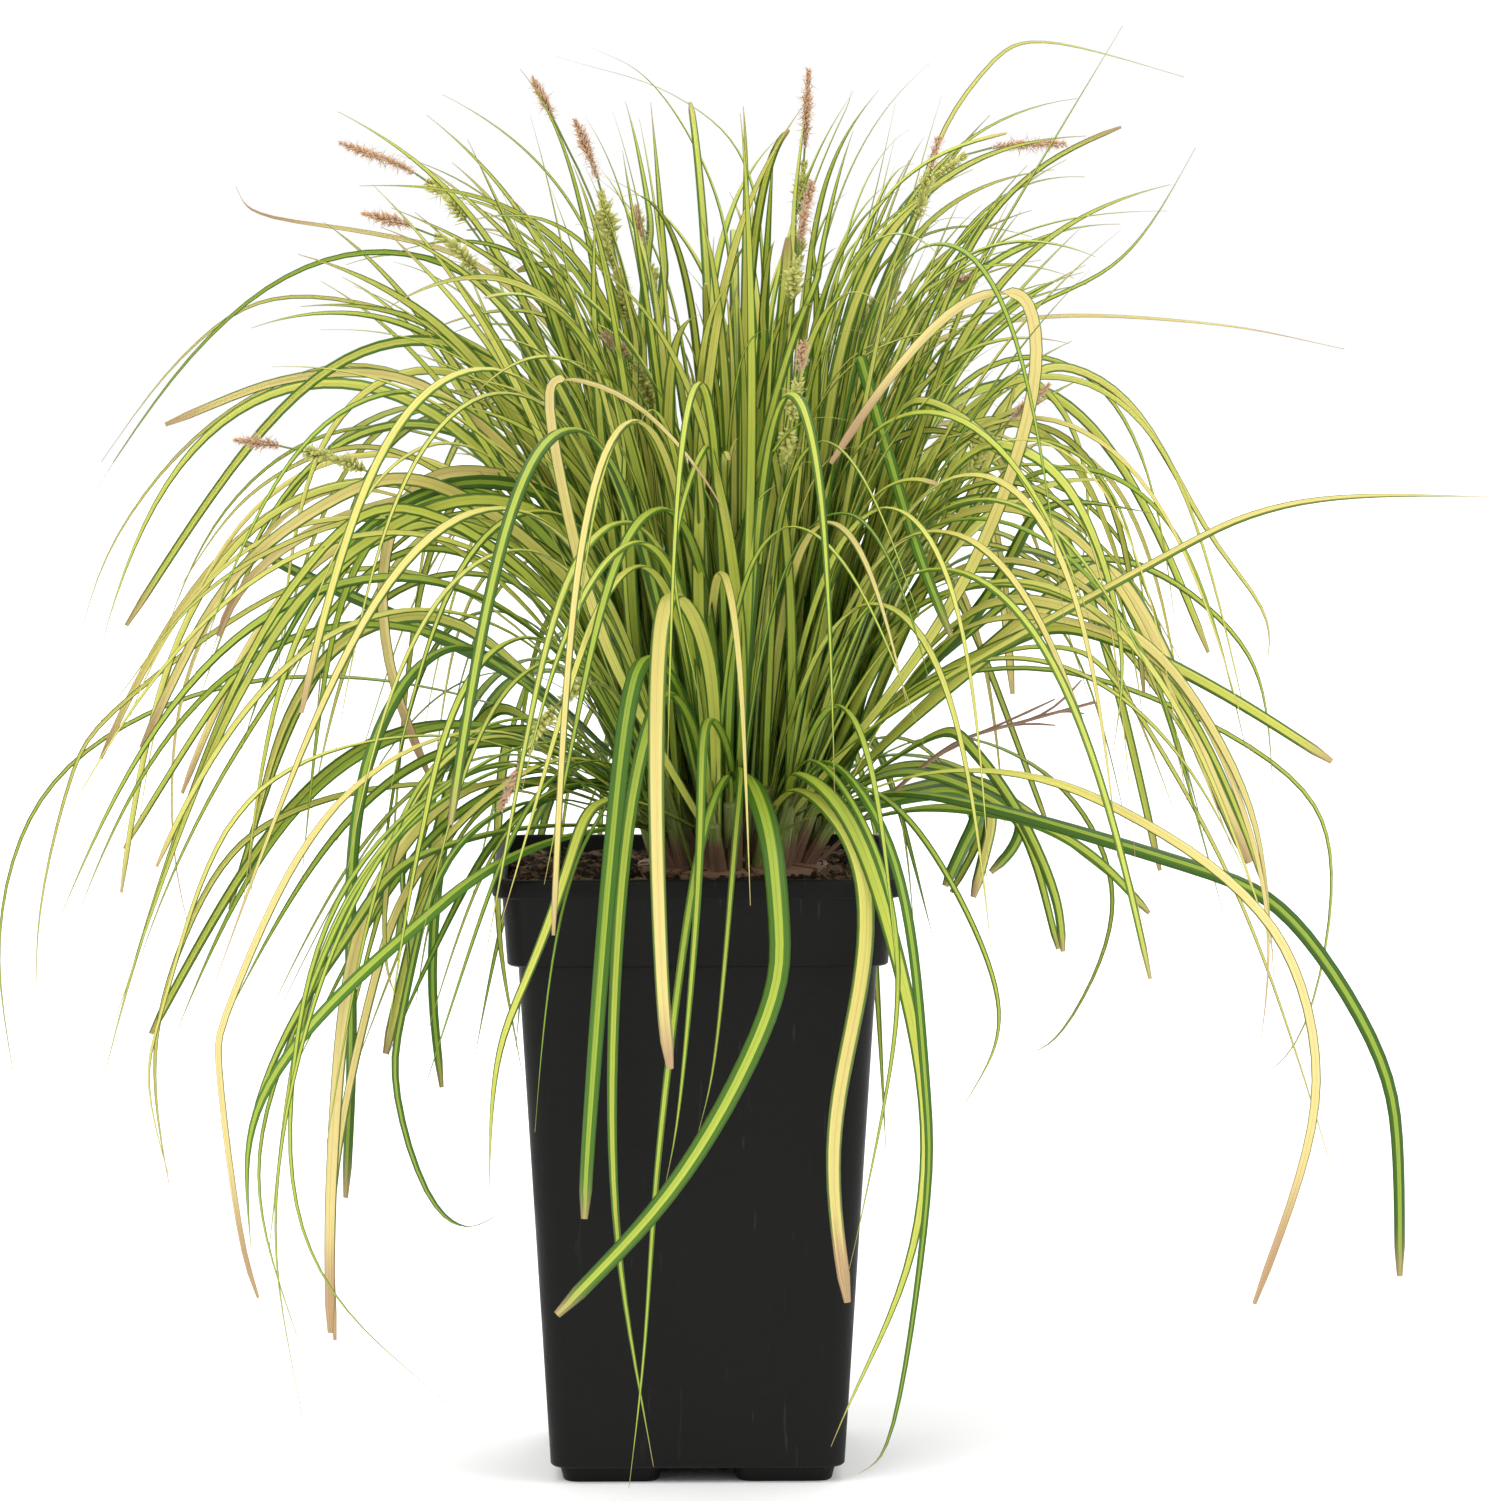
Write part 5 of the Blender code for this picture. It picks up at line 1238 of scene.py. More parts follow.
def add_piece(name, mesh, slot, *nodes):
    """Puts a finished mesh in the scene as a piece that rides on the frame and stands for its nodes."""
    for old in [o for o in bpy.context.scene.objects if o.name == name]:
        bpy.data.objects.remove(old, do_unlink=True)
    piece = bpy.data.objects.new(name, mesh)
    mesh.name = name
    bpy.context.scene.collection.objects.link(piece)
    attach(piece, "root")
    if nodes:
        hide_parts(*nodes)
    return piece


# The clump's rule

def crown_point(azimuth, distance, height):
    """A point round the crown's axis, from an angle in degrees and millimetres, in millimetres."""
    angle = math.radians(azimuth)
    return Vector((CROWN_X + distance * math.cos(angle), distance * math.sin(angle), height))


def kept_in_sector(point, sector, room):
    """Moves a point round or away from the crown's axis so that it keeps clear of the sector's edges."""
    low, high = sector
    middle = (low + high) / 2
    half = math.radians((high - low) / 2)
    out = Vector((point.x - CROWN_X, point.y))
    reach = (point - Vector((CROWN_X, 0.0, CROWN_TOP))).length
    margin = STEM_GAP + STEM_GAP_GROWTH * reach + room
    distance = max(out.length, AXIS_ROOM * margin / math.sin(half))
    turn = math.degrees(math.atan2(out.y, out.x)) - middle
    turn = (turn + 180.0) % 360.0 - 180.0
    most = math.degrees(half - math.asin(margin / distance))
    return crown_point(middle + max(-most, min(most, turn)), distance, point.z)


def smooth_through(points, steps):
    """Points along a smooth curve through the given ones."""
    padded = [2 * points[0] - points[1]] + points + [2 * points[-1] - points[-2]]
    per_span = max(LEAST_STEPS, steps // (len(points) - 1))
    curve = []
    for a, b, c, d in zip(padded, padded[1:], padded[2:], padded[3:]):
        for step in range(per_span):
            t = step / per_span
            square = (2 * a - 5 * b + 4 * c - d) * t * t
            cube = (3 * b - a - 3 * c + d) * t * t * t
            curve.append(0.5 * ((2 * b) + (c - a) * t + square + cube))
    curve.append(points[-1].copy())
    return curve


def eased(path):
    """The path with its tight bends let out a little, and both ends where they were."""
    for _ in range(EASINGS):
        inner = [(a + 2 * b + c) / 4 for a, b, c in zip(path, path[1:], path[2:])]
        path = [path[0]] + inner + [path[-1]]
    return path


def arching(root, azimuth, leaf):
    """Points of a leaf that rises, bends over once and falls: its steepness changes round its arch."""
    point = root.copy()
    points = [root.copy()]
    step = leaf["length"] / FINE_STEPS
    for i in range(FINE_STEPS):
        along = (i + 0.5) / FINE_STEPS
        bent = 1.0 / (1.0 + math.exp(-(along - leaf["arch"]) / leaf["span"]))
        steepness = math.radians(leaf["rise"] + (leaf["fall"] - leaf["rise"]) * bent)
        heading = math.radians(azimuth + leaf["sweep"] * along)
        point = point + step * Vector(
            (
                math.cos(steepness) * math.cos(heading),
                math.cos(steepness) * math.sin(heading),
                math.sin(steepness),
            )
        )
        points.append(point.copy())
    return points


def thinned(points, segments):
    """The curve as a few straight runs, which are shortest where it bends most."""
    weights = [0.0]
    for i in range(1, len(points)):
        run = points[i] - points[i - 1]
        bend = run.angle(points[i - 1] - points[i - 2], 0.0) if i > 1 else 0.0
        weights.append(weights[-1] + run.length + BEND_WEIGHT * bend)
    kept = []
    i = 0
    for k in range(segments + 1):
        want = weights[-1] * k / segments
        while i < len(points) - 2 and weights[i + 1] < want:
            i += 1
        share = (want - weights[i]) / (weights[i + 1] - weights[i])
        kept.append(points[i].lerp(points[i + 1], max(0.0, min(1.0, share))))
    return kept


def is_free(points, lowest):
    """Whether a leaf clears the pot, hangs no lower than its tuft and stays in the plant's outline."""
    keep_off = RIM_HALF + RIM_CLEARANCE
    for a, b in zip(points, points[1:]):
        for share in FREE_CHECKS:
            p = a.lerp(b, share)
            if not lowest < p.z < TALLEST_LEAF or not LEFT_REACH < p.x < RIGHT_REACH:
                return False
            if abs(p.y) > DEPTH_REACH:
                return False
            over_pot = abs(p.x) < keep_off and abs(p.y) < keep_off
            from_crown = math.hypot(p.x - CROWN_X, p.y)
            if over_pot and from_crown > CROWN_RADIUS and p.z < POT_HEIGHT + RIM_CLEARANCE:
                return False
    return True


def lengths_of(path):
    run = [0.0]
    for a, b in zip(path, path[1:]):
        run.append(run[-1] + (b - a).length)
    return run


def place_at(path, run, distance):
    """The point and direction at a distance along a path."""
    i = 0
    while i < len(path) - 2 and run[i + 1] < distance:
        i += 1
    direction = (path[i + 1] - path[i]).normalized()
    return path[i] + direction * (distance - run[i]), direction


def beads(points, count=24):
    """Points spread along a leaf beyond its sheath, to measure how near it comes to another."""
    run = lengths_of(points)
    shares = [SHEATH_SHARE + (1.0 - SHEATH_SHARE) * k / count for k in range(count + 1)]
    return [place_at(points, run, run[-1] * share)[0] for share in shares]


def lies_apart(candidate, others):
    """Whether a leaf passes clear of every other leaf of its tuft."""
    for other in others:
        clear = LEAF_OVERLAP * (candidate["width"] + other["width"]) + LEAF_SPACE
        for p in candidate["beads"]:
            if min((p - q).length_squared for q in other["beads"]) < clear * clear:
                return False
    return True


def shoots_of(sector, rng):
    """The shoots of a tuft: where each stands in the crown, how it leans and how long its sheath is."""
    low, high = sector
    shoots = []
    for i in range(SHOOTS_PER_TUFT):
        azimuth = low + (high - low) * (i + 0.5) / SHOOTS_PER_TUFT
        distance = SHOOT_NEAREST + SHOOT_SPREAD * ((i * 2) % SHOOTS_PER_TUFT) / (SHOOTS_PER_TUFT - 1)
        foot = kept_in_sector(crown_point(azimuth, distance, CROWN_TOP - CROWN_FALL), sector, SHOOT_ROOM)
        lean = rng.uniform(*SHOOT_LEANS)
        length = rng.uniform(*SHEATH_LENGTHS)
        heading = math.radians(azimuth)
        slope = math.radians(lean)
        axis = Vector(
            (math.cos(slope) * math.cos(heading), math.cos(slope) * math.sin(heading), math.sin(slope))
        )
        top = kept_in_sector(foot + axis * length, sector, SHOOT_TOP_ROOM)
        shoots.append({"foot": foot, "top": top, "azimuth": azimuth})
    return shoots


def random_leaf(rng):
    """The habit of one ordinary leaf: upright, arching or low."""
    kind = rng.random()
    ranges = next(habit[1:] for habit in HABITS if kind < habit[0])
    rise, fall, arch, length = [rng.uniform(*limits) for limits in ranges]
    return {
        "rise": rise,
        "fall": fall,
        "arch": arch,
        "length": length,
        "span": rng.uniform(*SPANS),
        "sweep": rng.uniform(*SWEEPS),
        "width": rng.uniform(*WIDTHS),
        "end": "cut" if rng.random() < CUT_SHARE else "fine",
        "turn": rng.uniform(*TURNS),
    }


def drawn_leaves(rows, shoots, sector):
    """Leaves that pass through given points, each from its shoot."""
    leaves = []
    for i, (width, end, turn, finish, route) in enumerate(rows):
        shoot = shoots[i % SHOOTS_PER_TUFT]
        start = shoot["foot"].lerp(shoot["top"], PART_START)
        path = smooth_through([start] + [Vector(p) for p in route], FINE_STEPS)
        path = [kept_in_sector(p, sector, width / 2 + LEAF_SPACE) for p in path]
        leaf = {"path": eased(path), "width": width, "end": end, "turn": turn, "finish": finish}
        leaves.append({**leaf, "beads": beads(path)})
    return leaves


def leaves_of(name):
    """A tuft's shoots and leaves: first those that its solid has, then the loose ones.

    Each leaf is its path in millimetres with its width, end and turn.
    """
    low, high, lowest = TUFTS[name]
    sector = (low, high)
    rng = random.Random(name)
    shoots = shoots_of(sector, rng)
    leaves = drawn_leaves(STANDING_OUT[name], shoots, sector)
    for _ in range(LEAF_TRIES):
        if len(leaves) == LEAVES_PER_TUFT:
            break
        shoot = shoots[rng.randrange(SHOOTS_PER_TUFT)]
        leaf = random_leaf(rng)
        azimuth = shoot["azimuth"] + rng.uniform(-FAN, FAN)
        start = shoot["foot"].lerp(shoot["top"], rng.uniform(*STARTS))
        path = arching(start, azimuth, leaf)
        path = [kept_in_sector(p, sector, leaf["width"] / 2 + LEAF_SPACE) for p in path]
        leaf.update(path=path, beads=beads(path))
        if is_free(thinned(path, LEAF_SEGMENTS), lowest) and lies_apart(leaf, leaves):
            leaves.append(leaf)
    return shoots, leaves + drawn_leaves(LOOSE_LEAVES[name], shoots, sector)


def core_leaf(rng):
    """The habit of a broad leaf in the clump's core, which stands almost straight."""
    return {**{key: rng.uniform(*limits) for key, limits in CORE_HABIT.items()}, "end": "fine"}


def outer_leaf(rng):
    """The habit of a leaf of the outer clump, which arches over and keeps its width."""
    leaf = random_leaf(rng)
    leaf["width"] = rng.uniform(*OUTER_WIDTHS)
    leaf["length"] *= rng.uniform(*OUTER_LENGTHS)
    leaf["end"] = "cut" if rng.random() < CUT_SHARE else "fine"
    return leaf


def fine_leaf(rng):
    """The habit of a thin leaf with a long fine tip."""
    leaf = random_leaf(rng)
    leaf["width"] = rng.uniform(*FINE_WIDTHS)
    leaf["length"] *= rng.uniform(*FINE_LENGTHS)
    leaf["end"] = "fine"
    return leaf


def added_leaves(name, shoots, habit, count):
    """More leaves for a tuft, each with a habit from a draw of its own."""
    low, high, lowest = TUFTS[name]
    rng = random.Random(f"{name} {habit.__name__}")
    leaves = []
    while len(leaves) < count:
        shoot = shoots[rng.randrange(SHOOTS_PER_TUFT)]
        leaf = habit(rng)
        azimuth = shoot["azimuth"] + rng.uniform(-ADDED_FAN, ADDED_FAN)
        start = shoot["foot"].lerp(shoot["top"], rng.uniform(*ADDED_STARTS))
        sector = (low - SECTOR_OVERLAP, high + SECTOR_OVERLAP)
        path = [kept_in_sector(p, sector, leaf["width"] / 2) for p in arching(start, azimuth, leaf)]
        leaf["path"] = path
        if is_free(thinned(path, 2 * LEAF_SEGMENTS), lowest):
            leaves.append(leaf)
    return leaves


def width_along(along, end):
    """Share of a leaf's full width: narrow at its sheath, widest below the middle, then tapering."""
    opening = min(1.0, WIDTH_AT_SHEATH + OPENING * along)
    if end == "cut":
        return opening * (1.0 - CUT_NARROWING * along ** 3)
    return opening * max(NARROWEST, 1.0 - along ** TAPER)


def looks_of(leaf, rng):
    """Age, stripe and dried share of a leaf: upright leaves are bright, low ones dark, arching ones older."""
    if "finish" in leaf:
        age, stripe, dry = FINISHES[leaf["finish"]]
        return age + rng.uniform(*AGE_VARIATION), stripe, dry
    if leaf["rise"] < LOW_RISE:
        age = rng.uniform(*LOW_AGES)
    elif leaf["arch"] > HIGH_ARCH:
        age = rng.uniform(*UPRIGHT_AGES)
    else:
        age = rng.choice([rng.uniform(*ages) for ages in ARCHING_AGES])
    stripe = STRIPE_SHARE + STRIPE_GROWTH * age + rng.uniform(*STRIPE_VARIATION)
    dry = rng.uniform(*DRY_SHARES) + DRY_GROWTH * age * rng.random()
    return age, stripe, dry


def midrib(leaf, sections, looks, seed):
    """A leaf's midrib with the side that its blade faces and its half width at each point.

    Each blade twists on along its length, most of the way to where its face shows from the front.
    """
    points = thinned(leaf["path"], sections)
    run = lengths_of(points)
    heading = points[-1] - points[0]
    across = Vector((-heading.y, heading.x, 0.0)).normalized()
    facing = math.degrees(math.atan2(across.y, across.x)) - leaf["turn"]
    twist = TWIST_SHARE * ((facing + 90.0) % 180.0 - 90.0)
    sides = []
    halves = []
    for i in range(sections + 1):
        along = i / sections
        tangent = (points[min(i + 1, sections)] - points[max(i - 1, 0)]).normalized()
        side = (across - across.dot(tangent) * tangent).normalized()
        turn = leaf["turn"] * min(1.0, TURN_PACE * along) + twist * min(1.0, TWIST_PACE * along)
        sides.append(Matrix.Rotation(math.radians(turn), 3, tangent) @ side)
        half = 0.5 * leaf["width"] * width_along(along, leaf["end"])
        halves.append(MM * max(NARROWEST_HALF, half))
    if leaf["end"] == "cut":
        halves[-1] *= CUT_END
    age, stripe, dry = looks
    return {
        "points": points,
        "carried": {
            "side": sides,
            "half_width": halves,
            "along": [distance / run[-1] for distance in run],
            "age": age,
            "stripe": stripe,
            "dry": dry,
            "seed": seed,
        },
    }


def sheath_run(shoot, seed):
    """The sheaths at the foot of a shoot: a slim cone from the crown to where the leaves part."""
    along = [k / SHEATH_STEPS for k in range(SHEATH_STEPS + 1)]
    points = [shoot["foot"].lerp(shoot["top"], share) for share in along]
    wide, slim = SHEATH_RADII
    halves = [MM * (wide - (wide - slim) * share) for share in along]
    return {"points": points, "carried": {"half_width": halves, "along": along, "seed": seed}}


def crown_slice(sector, material):
    """A tuft's share of the crown: a slice of a low round cake that stands in the soil's recess."""
    low, high = sector
    half = math.radians((high - low) / 2)
    floor = SOIL_EDGE_HEIGHT - CROWN_SINK
    middle = (low + high) / 2
    most = math.degrees(half - math.asin(STEM_GAP / CROWN_RADIUS))
    outline = [crown_point(middle, STEM_GAP / math.sin(half), floor)]
    for k in range(-CROWN_STEPS, CROWN_STEPS + 1):
        outline.append(crown_point(middle + most * k / CROWN_STEPS, CROWN_RADIUS, floor))
    bm = bmesh.new()
    face = bm.faces.new([bm.verts.new(p * MM) for p in outline])
    raised = bmesh.ops.extrude_face_region(bm, geom=[face])["geom"]
    for vert in (g for g in raised if isinstance(g, bmesh.types.BMVert)):
        out = math.hypot(vert.co.x / MM - CROWN_X, vert.co.y / MM) / CROWN_RADIUS
        vert.co.z = (CROWN_TOP - CROWN_FALL * out) * MM
    return closed_mesh(bm, "crown_slice", material)


def stem_path(azimuth, route):
    return smooth_through([crown_point(azimuth, out, height) for out, height in route], FINE_STEPS)


def stretch_of(path, first, last, steps):
    """Even points of a path between two distances along it."""
    run = lengths_of(path)
    return [place_at(path, run, first + (last - first) * k / steps)[0] for k in range(steps + 1)]


def stem_run(points, radius, taper, along, seed):
    """A round stem through points, which narrows evenly."""
    steps = len(points) - 1
    start, fall = taper
    halves = [MM * radius * (start - fall * k / steps) for k in range(steps + 1)]
    return {"points": points, "carried": {"half_width": halves, "along": along, "seed": seed}}


def branch_run(point, direction, reach, out, seed):
    """A thin dry branch that leaves the stem and curves outwards."""
    forward = direction * BRANCH_FORWARD
    points = [point + (forward + out * BRANCH_OUTWARD * t) * reach * t for t, _ in BRANCH_RADII]
    thin = [MM * radius for _, radius in BRANCH_RADII]
    return {"points": points, "carried": {"half_width": thin, "along": 0.5, "seed": seed}}


def spike_run(path, first, last):
    """The axis of a spike, with how full it is at each point."""
    places = [SWELL_START + SWELL_SPAN * k / SPIKE_STEPS for k in range(SPIKE_STEPS + 1)]
    swell = [math.sin(math.pi * place) ** SWELL_POWER for place in places]
    return {"points": stretch_of(path, first, last, SPIKE_STEPS), "carried": {"swell": swell}}


# Pot

def rounded_square(half, radius, height):
    """Points of a level square with round corners, anticlockwise."""
    inner = half - radius
    points = []
    for corner, (x, y) in enumerate(((1, 1), (-1, 1), (-1, -1), (1, -1))):
        for k in range(CORNER_STEPS + 1):
            angle = math.radians(90.0 * corner + 90.0 * k / CORNER_STEPS)
            across = x * inner + radius * math.cos(angle)
            deep = y * inner + radius * math.sin(angle)
            points.append(Vector((across, deep, height)))
    return points


def lofted(sections, centre=(0.0, 0.0)):
    """A closed skin through rounded squares, each a half width, a corner radius and a height."""
    bm = bmesh.new()
    shift = Vector((centre[0], centre[1], 0.0))
    rings = [[bm.verts.new((p + shift) * MM) for p in rounded_square(*section)] for section in sections]
    for low, high in zip(rings, rings[1:]):
        for k in range(len(low)):
            after = (k + 1) % len(low)
            bm.faces.new((low[k], low[after], high[after], high[k]))
    bm.faces.new(rings[0][::-1])
    bm.faces.new(rings[-1])
    return closed_mesh(bm, "loft")


def body_half_at(height):
    """Half the width of the pot's lower body at a height."""
    share = (height - FOOT_HEIGHT) / (LEDGE_HEIGHT - FOOT_HEIGHT)
    return BODY_HALF_BOTTOM + share * (BODY_HALF_TOP - BODY_HALF_BOTTOM)


def collar_half_at(height):
    """Half the width of the pot's collar at a height."""
    share = (height - LEDGE_HEIGHT) / (RIM_BOTTOM - LEDGE_HEIGHT)
    return COLLAR_HALF_BOTTOM + share * (COLLAR_HALF_TOP - COLLAR_HALF_BOTTOM)


def combined(base, others, operation):
    """The base mesh joined with or cut by the others in one Boolean."""
    helpers = bpy.data.collections.new("helpers")
    bpy.context.scene.collection.children.link(helpers)
    for mesh in others:
        helpers.objects.link(bpy.data.objects.new("helper", mesh))
    obj = bpy.data.objects.new("base", base)
    bpy.context.scene.collection.objects.link(obj)
    boolean = obj.modifiers.new("join", "BOOLEAN")
    boolean.operation = operation
    boolean.operand_type = "COLLECTION"
    boolean.collection = helpers
    boolean.solver = "EXACT"
    graph = bpy.context.evaluated_depsgraph_get()
    result = bpy.data.meshes.new_from_object(obj.evaluated_get(graph))
    for helper in list(helpers.objects) + [obj]:
        bpy.data.objects.remove(helper, do_unlink=True)
    bpy.data.collections.remove(helpers)
    return result


def pot_mesh():
    """The pot's shell: outer wall with collar and turned rim, inner wall, floor, feet and drain holes."""
    soft = EDGE_ROUNDING
    floor_top = FOOT_HEIGHT + FLOOR_THICKNESS
    ledge_top = LEDGE_HEIGHT + WALL
    fillet_reach, fillet_fall = LEDGE_FILLET_MIDDLE
    lip_reach, lip_fall = LIP_MIDDLE
    shell = lofted([
        (BODY_HALF_BOTTOM - soft, CORNER_RADIUS - soft, FOOT_HEIGHT),
        (BODY_HALF_BOTTOM, CORNER_RADIUS, FOOT_HEIGHT + soft),
        (body_half_at(LEDGE_HEIGHT - LEDGE_FILLET), CORNER_RADIUS, LEDGE_HEIGHT - LEDGE_FILLET),
        (body_half_at(LEDGE_HEIGHT) + fillet_reach, CORNER_RADIUS, LEDGE_HEIGHT - fillet_fall),
        (COLLAR_HALF_BOTTOM - soft, CORNER_RADIUS, LEDGE_HEIGHT),
        (COLLAR_HALF_BOTTOM, CORNER_RADIUS, LEDGE_HEIGHT + soft),
        (collar_half_at(RIM_BOTTOM - RIM_FILLET), CORNER_RADIUS, RIM_BOTTOM - RIM_FILLET),
        (collar_half_at(RIM_BOTTOM) + RIM_FILLET_REACH, CORNER_RADIUS, RIM_BOTTOM),
        (RIM_HALF - soft, RIM_CORNER_RADIUS - soft, RIM_BOTTOM),
        (RIM_HALF, RIM_CORNER_RADIUS, RIM_BOTTOM + soft),
        (RIM_HALF, RIM_CORNER_RADIUS, POT_HEIGHT - LIP),
        (RIM_HALF - lip_reach, RIM_CORNER_RADIUS, POT_HEIGHT - lip_fall),
        (RIM_HALF - LIP, RIM_CORNER_RADIUS - LIP_CORNER, POT_HEIGHT),
        (collar_half_at(POT_HEIGHT) - LIP_INSIDE, CORNER_RADIUS, POT_HEIGHT),
        (collar_half_at(POT_HEIGHT) - WALL, CORNER_RADIUS - WALL, POT_HEIGHT - LIP_INSIDE_FALL),
        (collar_half_at(ledge_top) - WALL, CORNER_RADIUS - WALL, ledge_top),
        (body_half_at(ledge_top) - WALL, CORNER_RADIUS - WALL, ledge_top),
        (body_half_at(floor_top) - WALL, CORNER_RADIUS - WALL, floor_top),
    ])
    half = FOOT_WIDTH / 2
    foot_centre = BODY_HALF_BOTTOM - FOOT_INSET - FOOT_WIDTH / 2
    foot = [
        (half - FOOT_TAPER - soft, FOOT_RADIUS - soft, 0.0),
        (half - FOOT_TAPER, FOOT_RADIUS, soft),
        (half, FOOT_RADIUS, FOOT_HEIGHT + FOOT_OVERLAP),
    ]
    corners = [(x * foot_centre, y * foot_centre) for x in (-1, 1) for y in (-1, 1)]
    shell = combined(shell, [lofted(foot, corner) for corner in corners], "UNION")
    hole = [(DRAIN_RADIUS, DRAIN_RADIUS, height) for height in (DRAIN_START, floor_top + DRAIN_OVERLAP)]
    places = [(x * DRAIN_SPREAD, y * DRAIN_SPREAD) for x, y in DRAIN_PLACES]
    return combined(shell, [lofted(hole, place) for place in places], "DIFFERENCE")


def smooth_by_angle(mesh, degrees):
    """Smooth shading with the sharper edges kept."""
    mesh.polygons.foreach_set("use_smooth", [True] * len(mesh.polygons))
    bm = bmesh.new()
    bm.from_mesh(mesh)
    for edge in bm.edges:
        edge.smooth = len(edge.link_faces) == 2 and edge.calc_face_angle(0.0) < math.radians(degrees)
    bm.to_mesh(mesh)
    bm.free()


# Soil

def soil_height(x, y):
    """Height of the soil's rough top in millimetres."""
    away = math.hypot(x - CROWN_X, y) / RIM_HALF
    mound = SOIL_MOUND * max(0.0, 1.0 - away * away)
    crumbs = noise.fractal(Vector((x, y, CRUMB_PLANE)) * CRUMB_FINENESS, *CRUMB_NOISE)
    return SOIL_EDGE_HEIGHT - SOIL_SINK + mound + CRUMB_HEIGHT * crumbs


def inside(outer_half):
    """Half the width of what fills the pot, just clear of the wall with the given outer half width."""
    return outer_half - WALL - TOUCH_GAP


def soil_mesh(material, cells=96):
    """The root ball with a rough top."""
    half = inside(collar_half_at(SOIL_EDGE_HEIGHT - SOIL_SIDE_DROP))
    bm = bmesh.new()
    bmesh.ops.create_grid(bm, x_segments=cells, y_segments=cells, size=half * MM)
    inner = half - CORNER_RADIUS - SOIL_CORNER_ROOM
    for vert in bm.verts:
        x, y = vert.co.x / MM, vert.co.y / MM
        past = Vector((max(0.0, abs(x) - inner), max(0.0, abs(y) - inner)))
        if past.x > 0 and past.y > 0:
            shrink = max(past) / past.length
            x = math.copysign(inner + past.x * shrink, x)
            y = math.copysign(inner + past.y * shrink, y)
        vert.co = Vector((x, y, soil_height(x, y))) * MM
    rim = [e for e in bm.edges if len(e.link_faces) == 1]
    ledge_top = LEDGE_HEIGHT + WALL + TOUCH_GAP
    floor_top = FOOT_HEIGHT + FLOOR_THICKNESS + TOUCH_GAP
    collar = inside(collar_half_at(ledge_top))
    body_top = inside(body_half_at(LEDGE_HEIGHT))
    body_foot = inside(body_half_at(floor_top))
    steps = (
        (half, collar, ledge_top),
        (collar, body_top, ledge_top),
        (body_top, body_foot, floor_top),
    )
    for scale_from, scale_to, height in steps:
        made = bmesh.ops.extrude_edge_only(bm, edges=rim)["geom"]
        for vert in (g for g in made if isinstance(g, bmesh.types.BMVert)):
            vert.co.x *= scale_to / scale_from
            vert.co.y *= scale_to / scale_from
            vert.co.z = height * MM
        rim = [g for g in made if isinstance(g, bmesh.types.BMEdge)]
    bmesh.ops.contextual_create(bm, geom=rim)
    return closed_mesh(bm, "soil", material)


def litter_bed(cells=24):
    """An open sheet on the soil, on which litter is strewn."""
    half = RIM_HALF - LITTER_MARGIN
    bm = bmesh.new()
    bmesh.ops.create_grid(bm, x_segments=cells, y_segments=cells, size=half * MM)
    for vert in bm.verts:
        vert.co.z = MM * soil_height(vert.co.x / MM, vert.co.y / MM)
    mesh = bpy.data.meshes.new("litter_bed")
    bm.to_mesh(mesh)
    bm.free()
    return mesh


# Operators

class SEDGE_OT_stage(bpy.types.Operator):
    """Make the floor, the light and the camera"""

    bl_idname = "sedge.stage"
    bl_label = "Stage"

    def execute(self, context):
        settings = context.scene.sedge_stage
        mesh = bpy.data.meshes.new("floor")
        corners = ((-1, -1), (1, -1), (1, 1), (-1, 1))
        points = [(x * FLOOR_REACH, y * FLOOR_REACH, 0) for x, y in corners]
        mesh.from_pydata(points, [], [(0, 1, 2, 3)])
        floor = bpy.data.objects.new("floor", mesh)
        context.scene.collection.objects.link(floor)
        material, tree, shader = new_material("floor_pale")
        patches = use_group(tree, mottle(), Size=0.4, Detail=2.0)["Value"]
        dimmer = [FLOOR_DIMMING * c for c in settings.floor]
        tree.links.new(mixed(tree, patches, settings.floor, dimmer), shader.inputs["Base Color"])
        shader.inputs["Roughness"].default_value = 0.9
        mesh.materials.append(material)

        world = bpy.data.worlds.new("studio")
        context.scene.world = world
        world.use_nodes = True
        sky = world.node_tree.nodes["Background"]
        sky.inputs["Color"].default_value = (1.0, 1.0, 1.0, 1.0)
        seen = world.node_tree.nodes.new("ShaderNodeLightPath").outputs["Is Camera Ray"]
        strength = maths(world.node_tree, "MULTIPLY_ADD", seen, 1.0 - settings.sky, settings.sky)
        world.node_tree.links.new(strength, sky.inputs["Strength"])
        for name, place, share in SUNS:
            data = bpy.data.lights.new(name, "SUN")
            data.angle = math.radians(SUN_WIDTH)
            data.energy = settings.key * share
            lamp = bpy.data.objects.new(name, data)
            lamp.location = place
            lamp.rotation_euler = (-Vector(place)).to_track_quat("-Z", "Y").to_euler()
            context.scene.collection.objects.link(lamp)

        camera_data = bpy.data.cameras.new("camera")
        camera_data.sensor_width = CAMERA_SENSOR
        camera_data.lens = CAMERA_LENS
        camera_data.clip_end = CAMERA_CLIP
        camera = bpy.data.objects.new("camera", camera_data)
        camera.location = CAMERA_PLACE
        pitch, yaw = math.radians(CAMERA_PITCH), math.radians(CAMERA_YAW)
        aim = Vector((math.sin(yaw) * math.cos(pitch), math.cos(yaw) * math.cos(pitch), -math.sin(pitch)))
        camera.rotation_euler = aim.to_track_quat("-Z", "Y").to_euler()
        context.scene.collection.objects.link(camera)
        context.scene.camera = camera
        context.scene.view_settings.view_transform = "Standard"
        return {"FINISHED"}


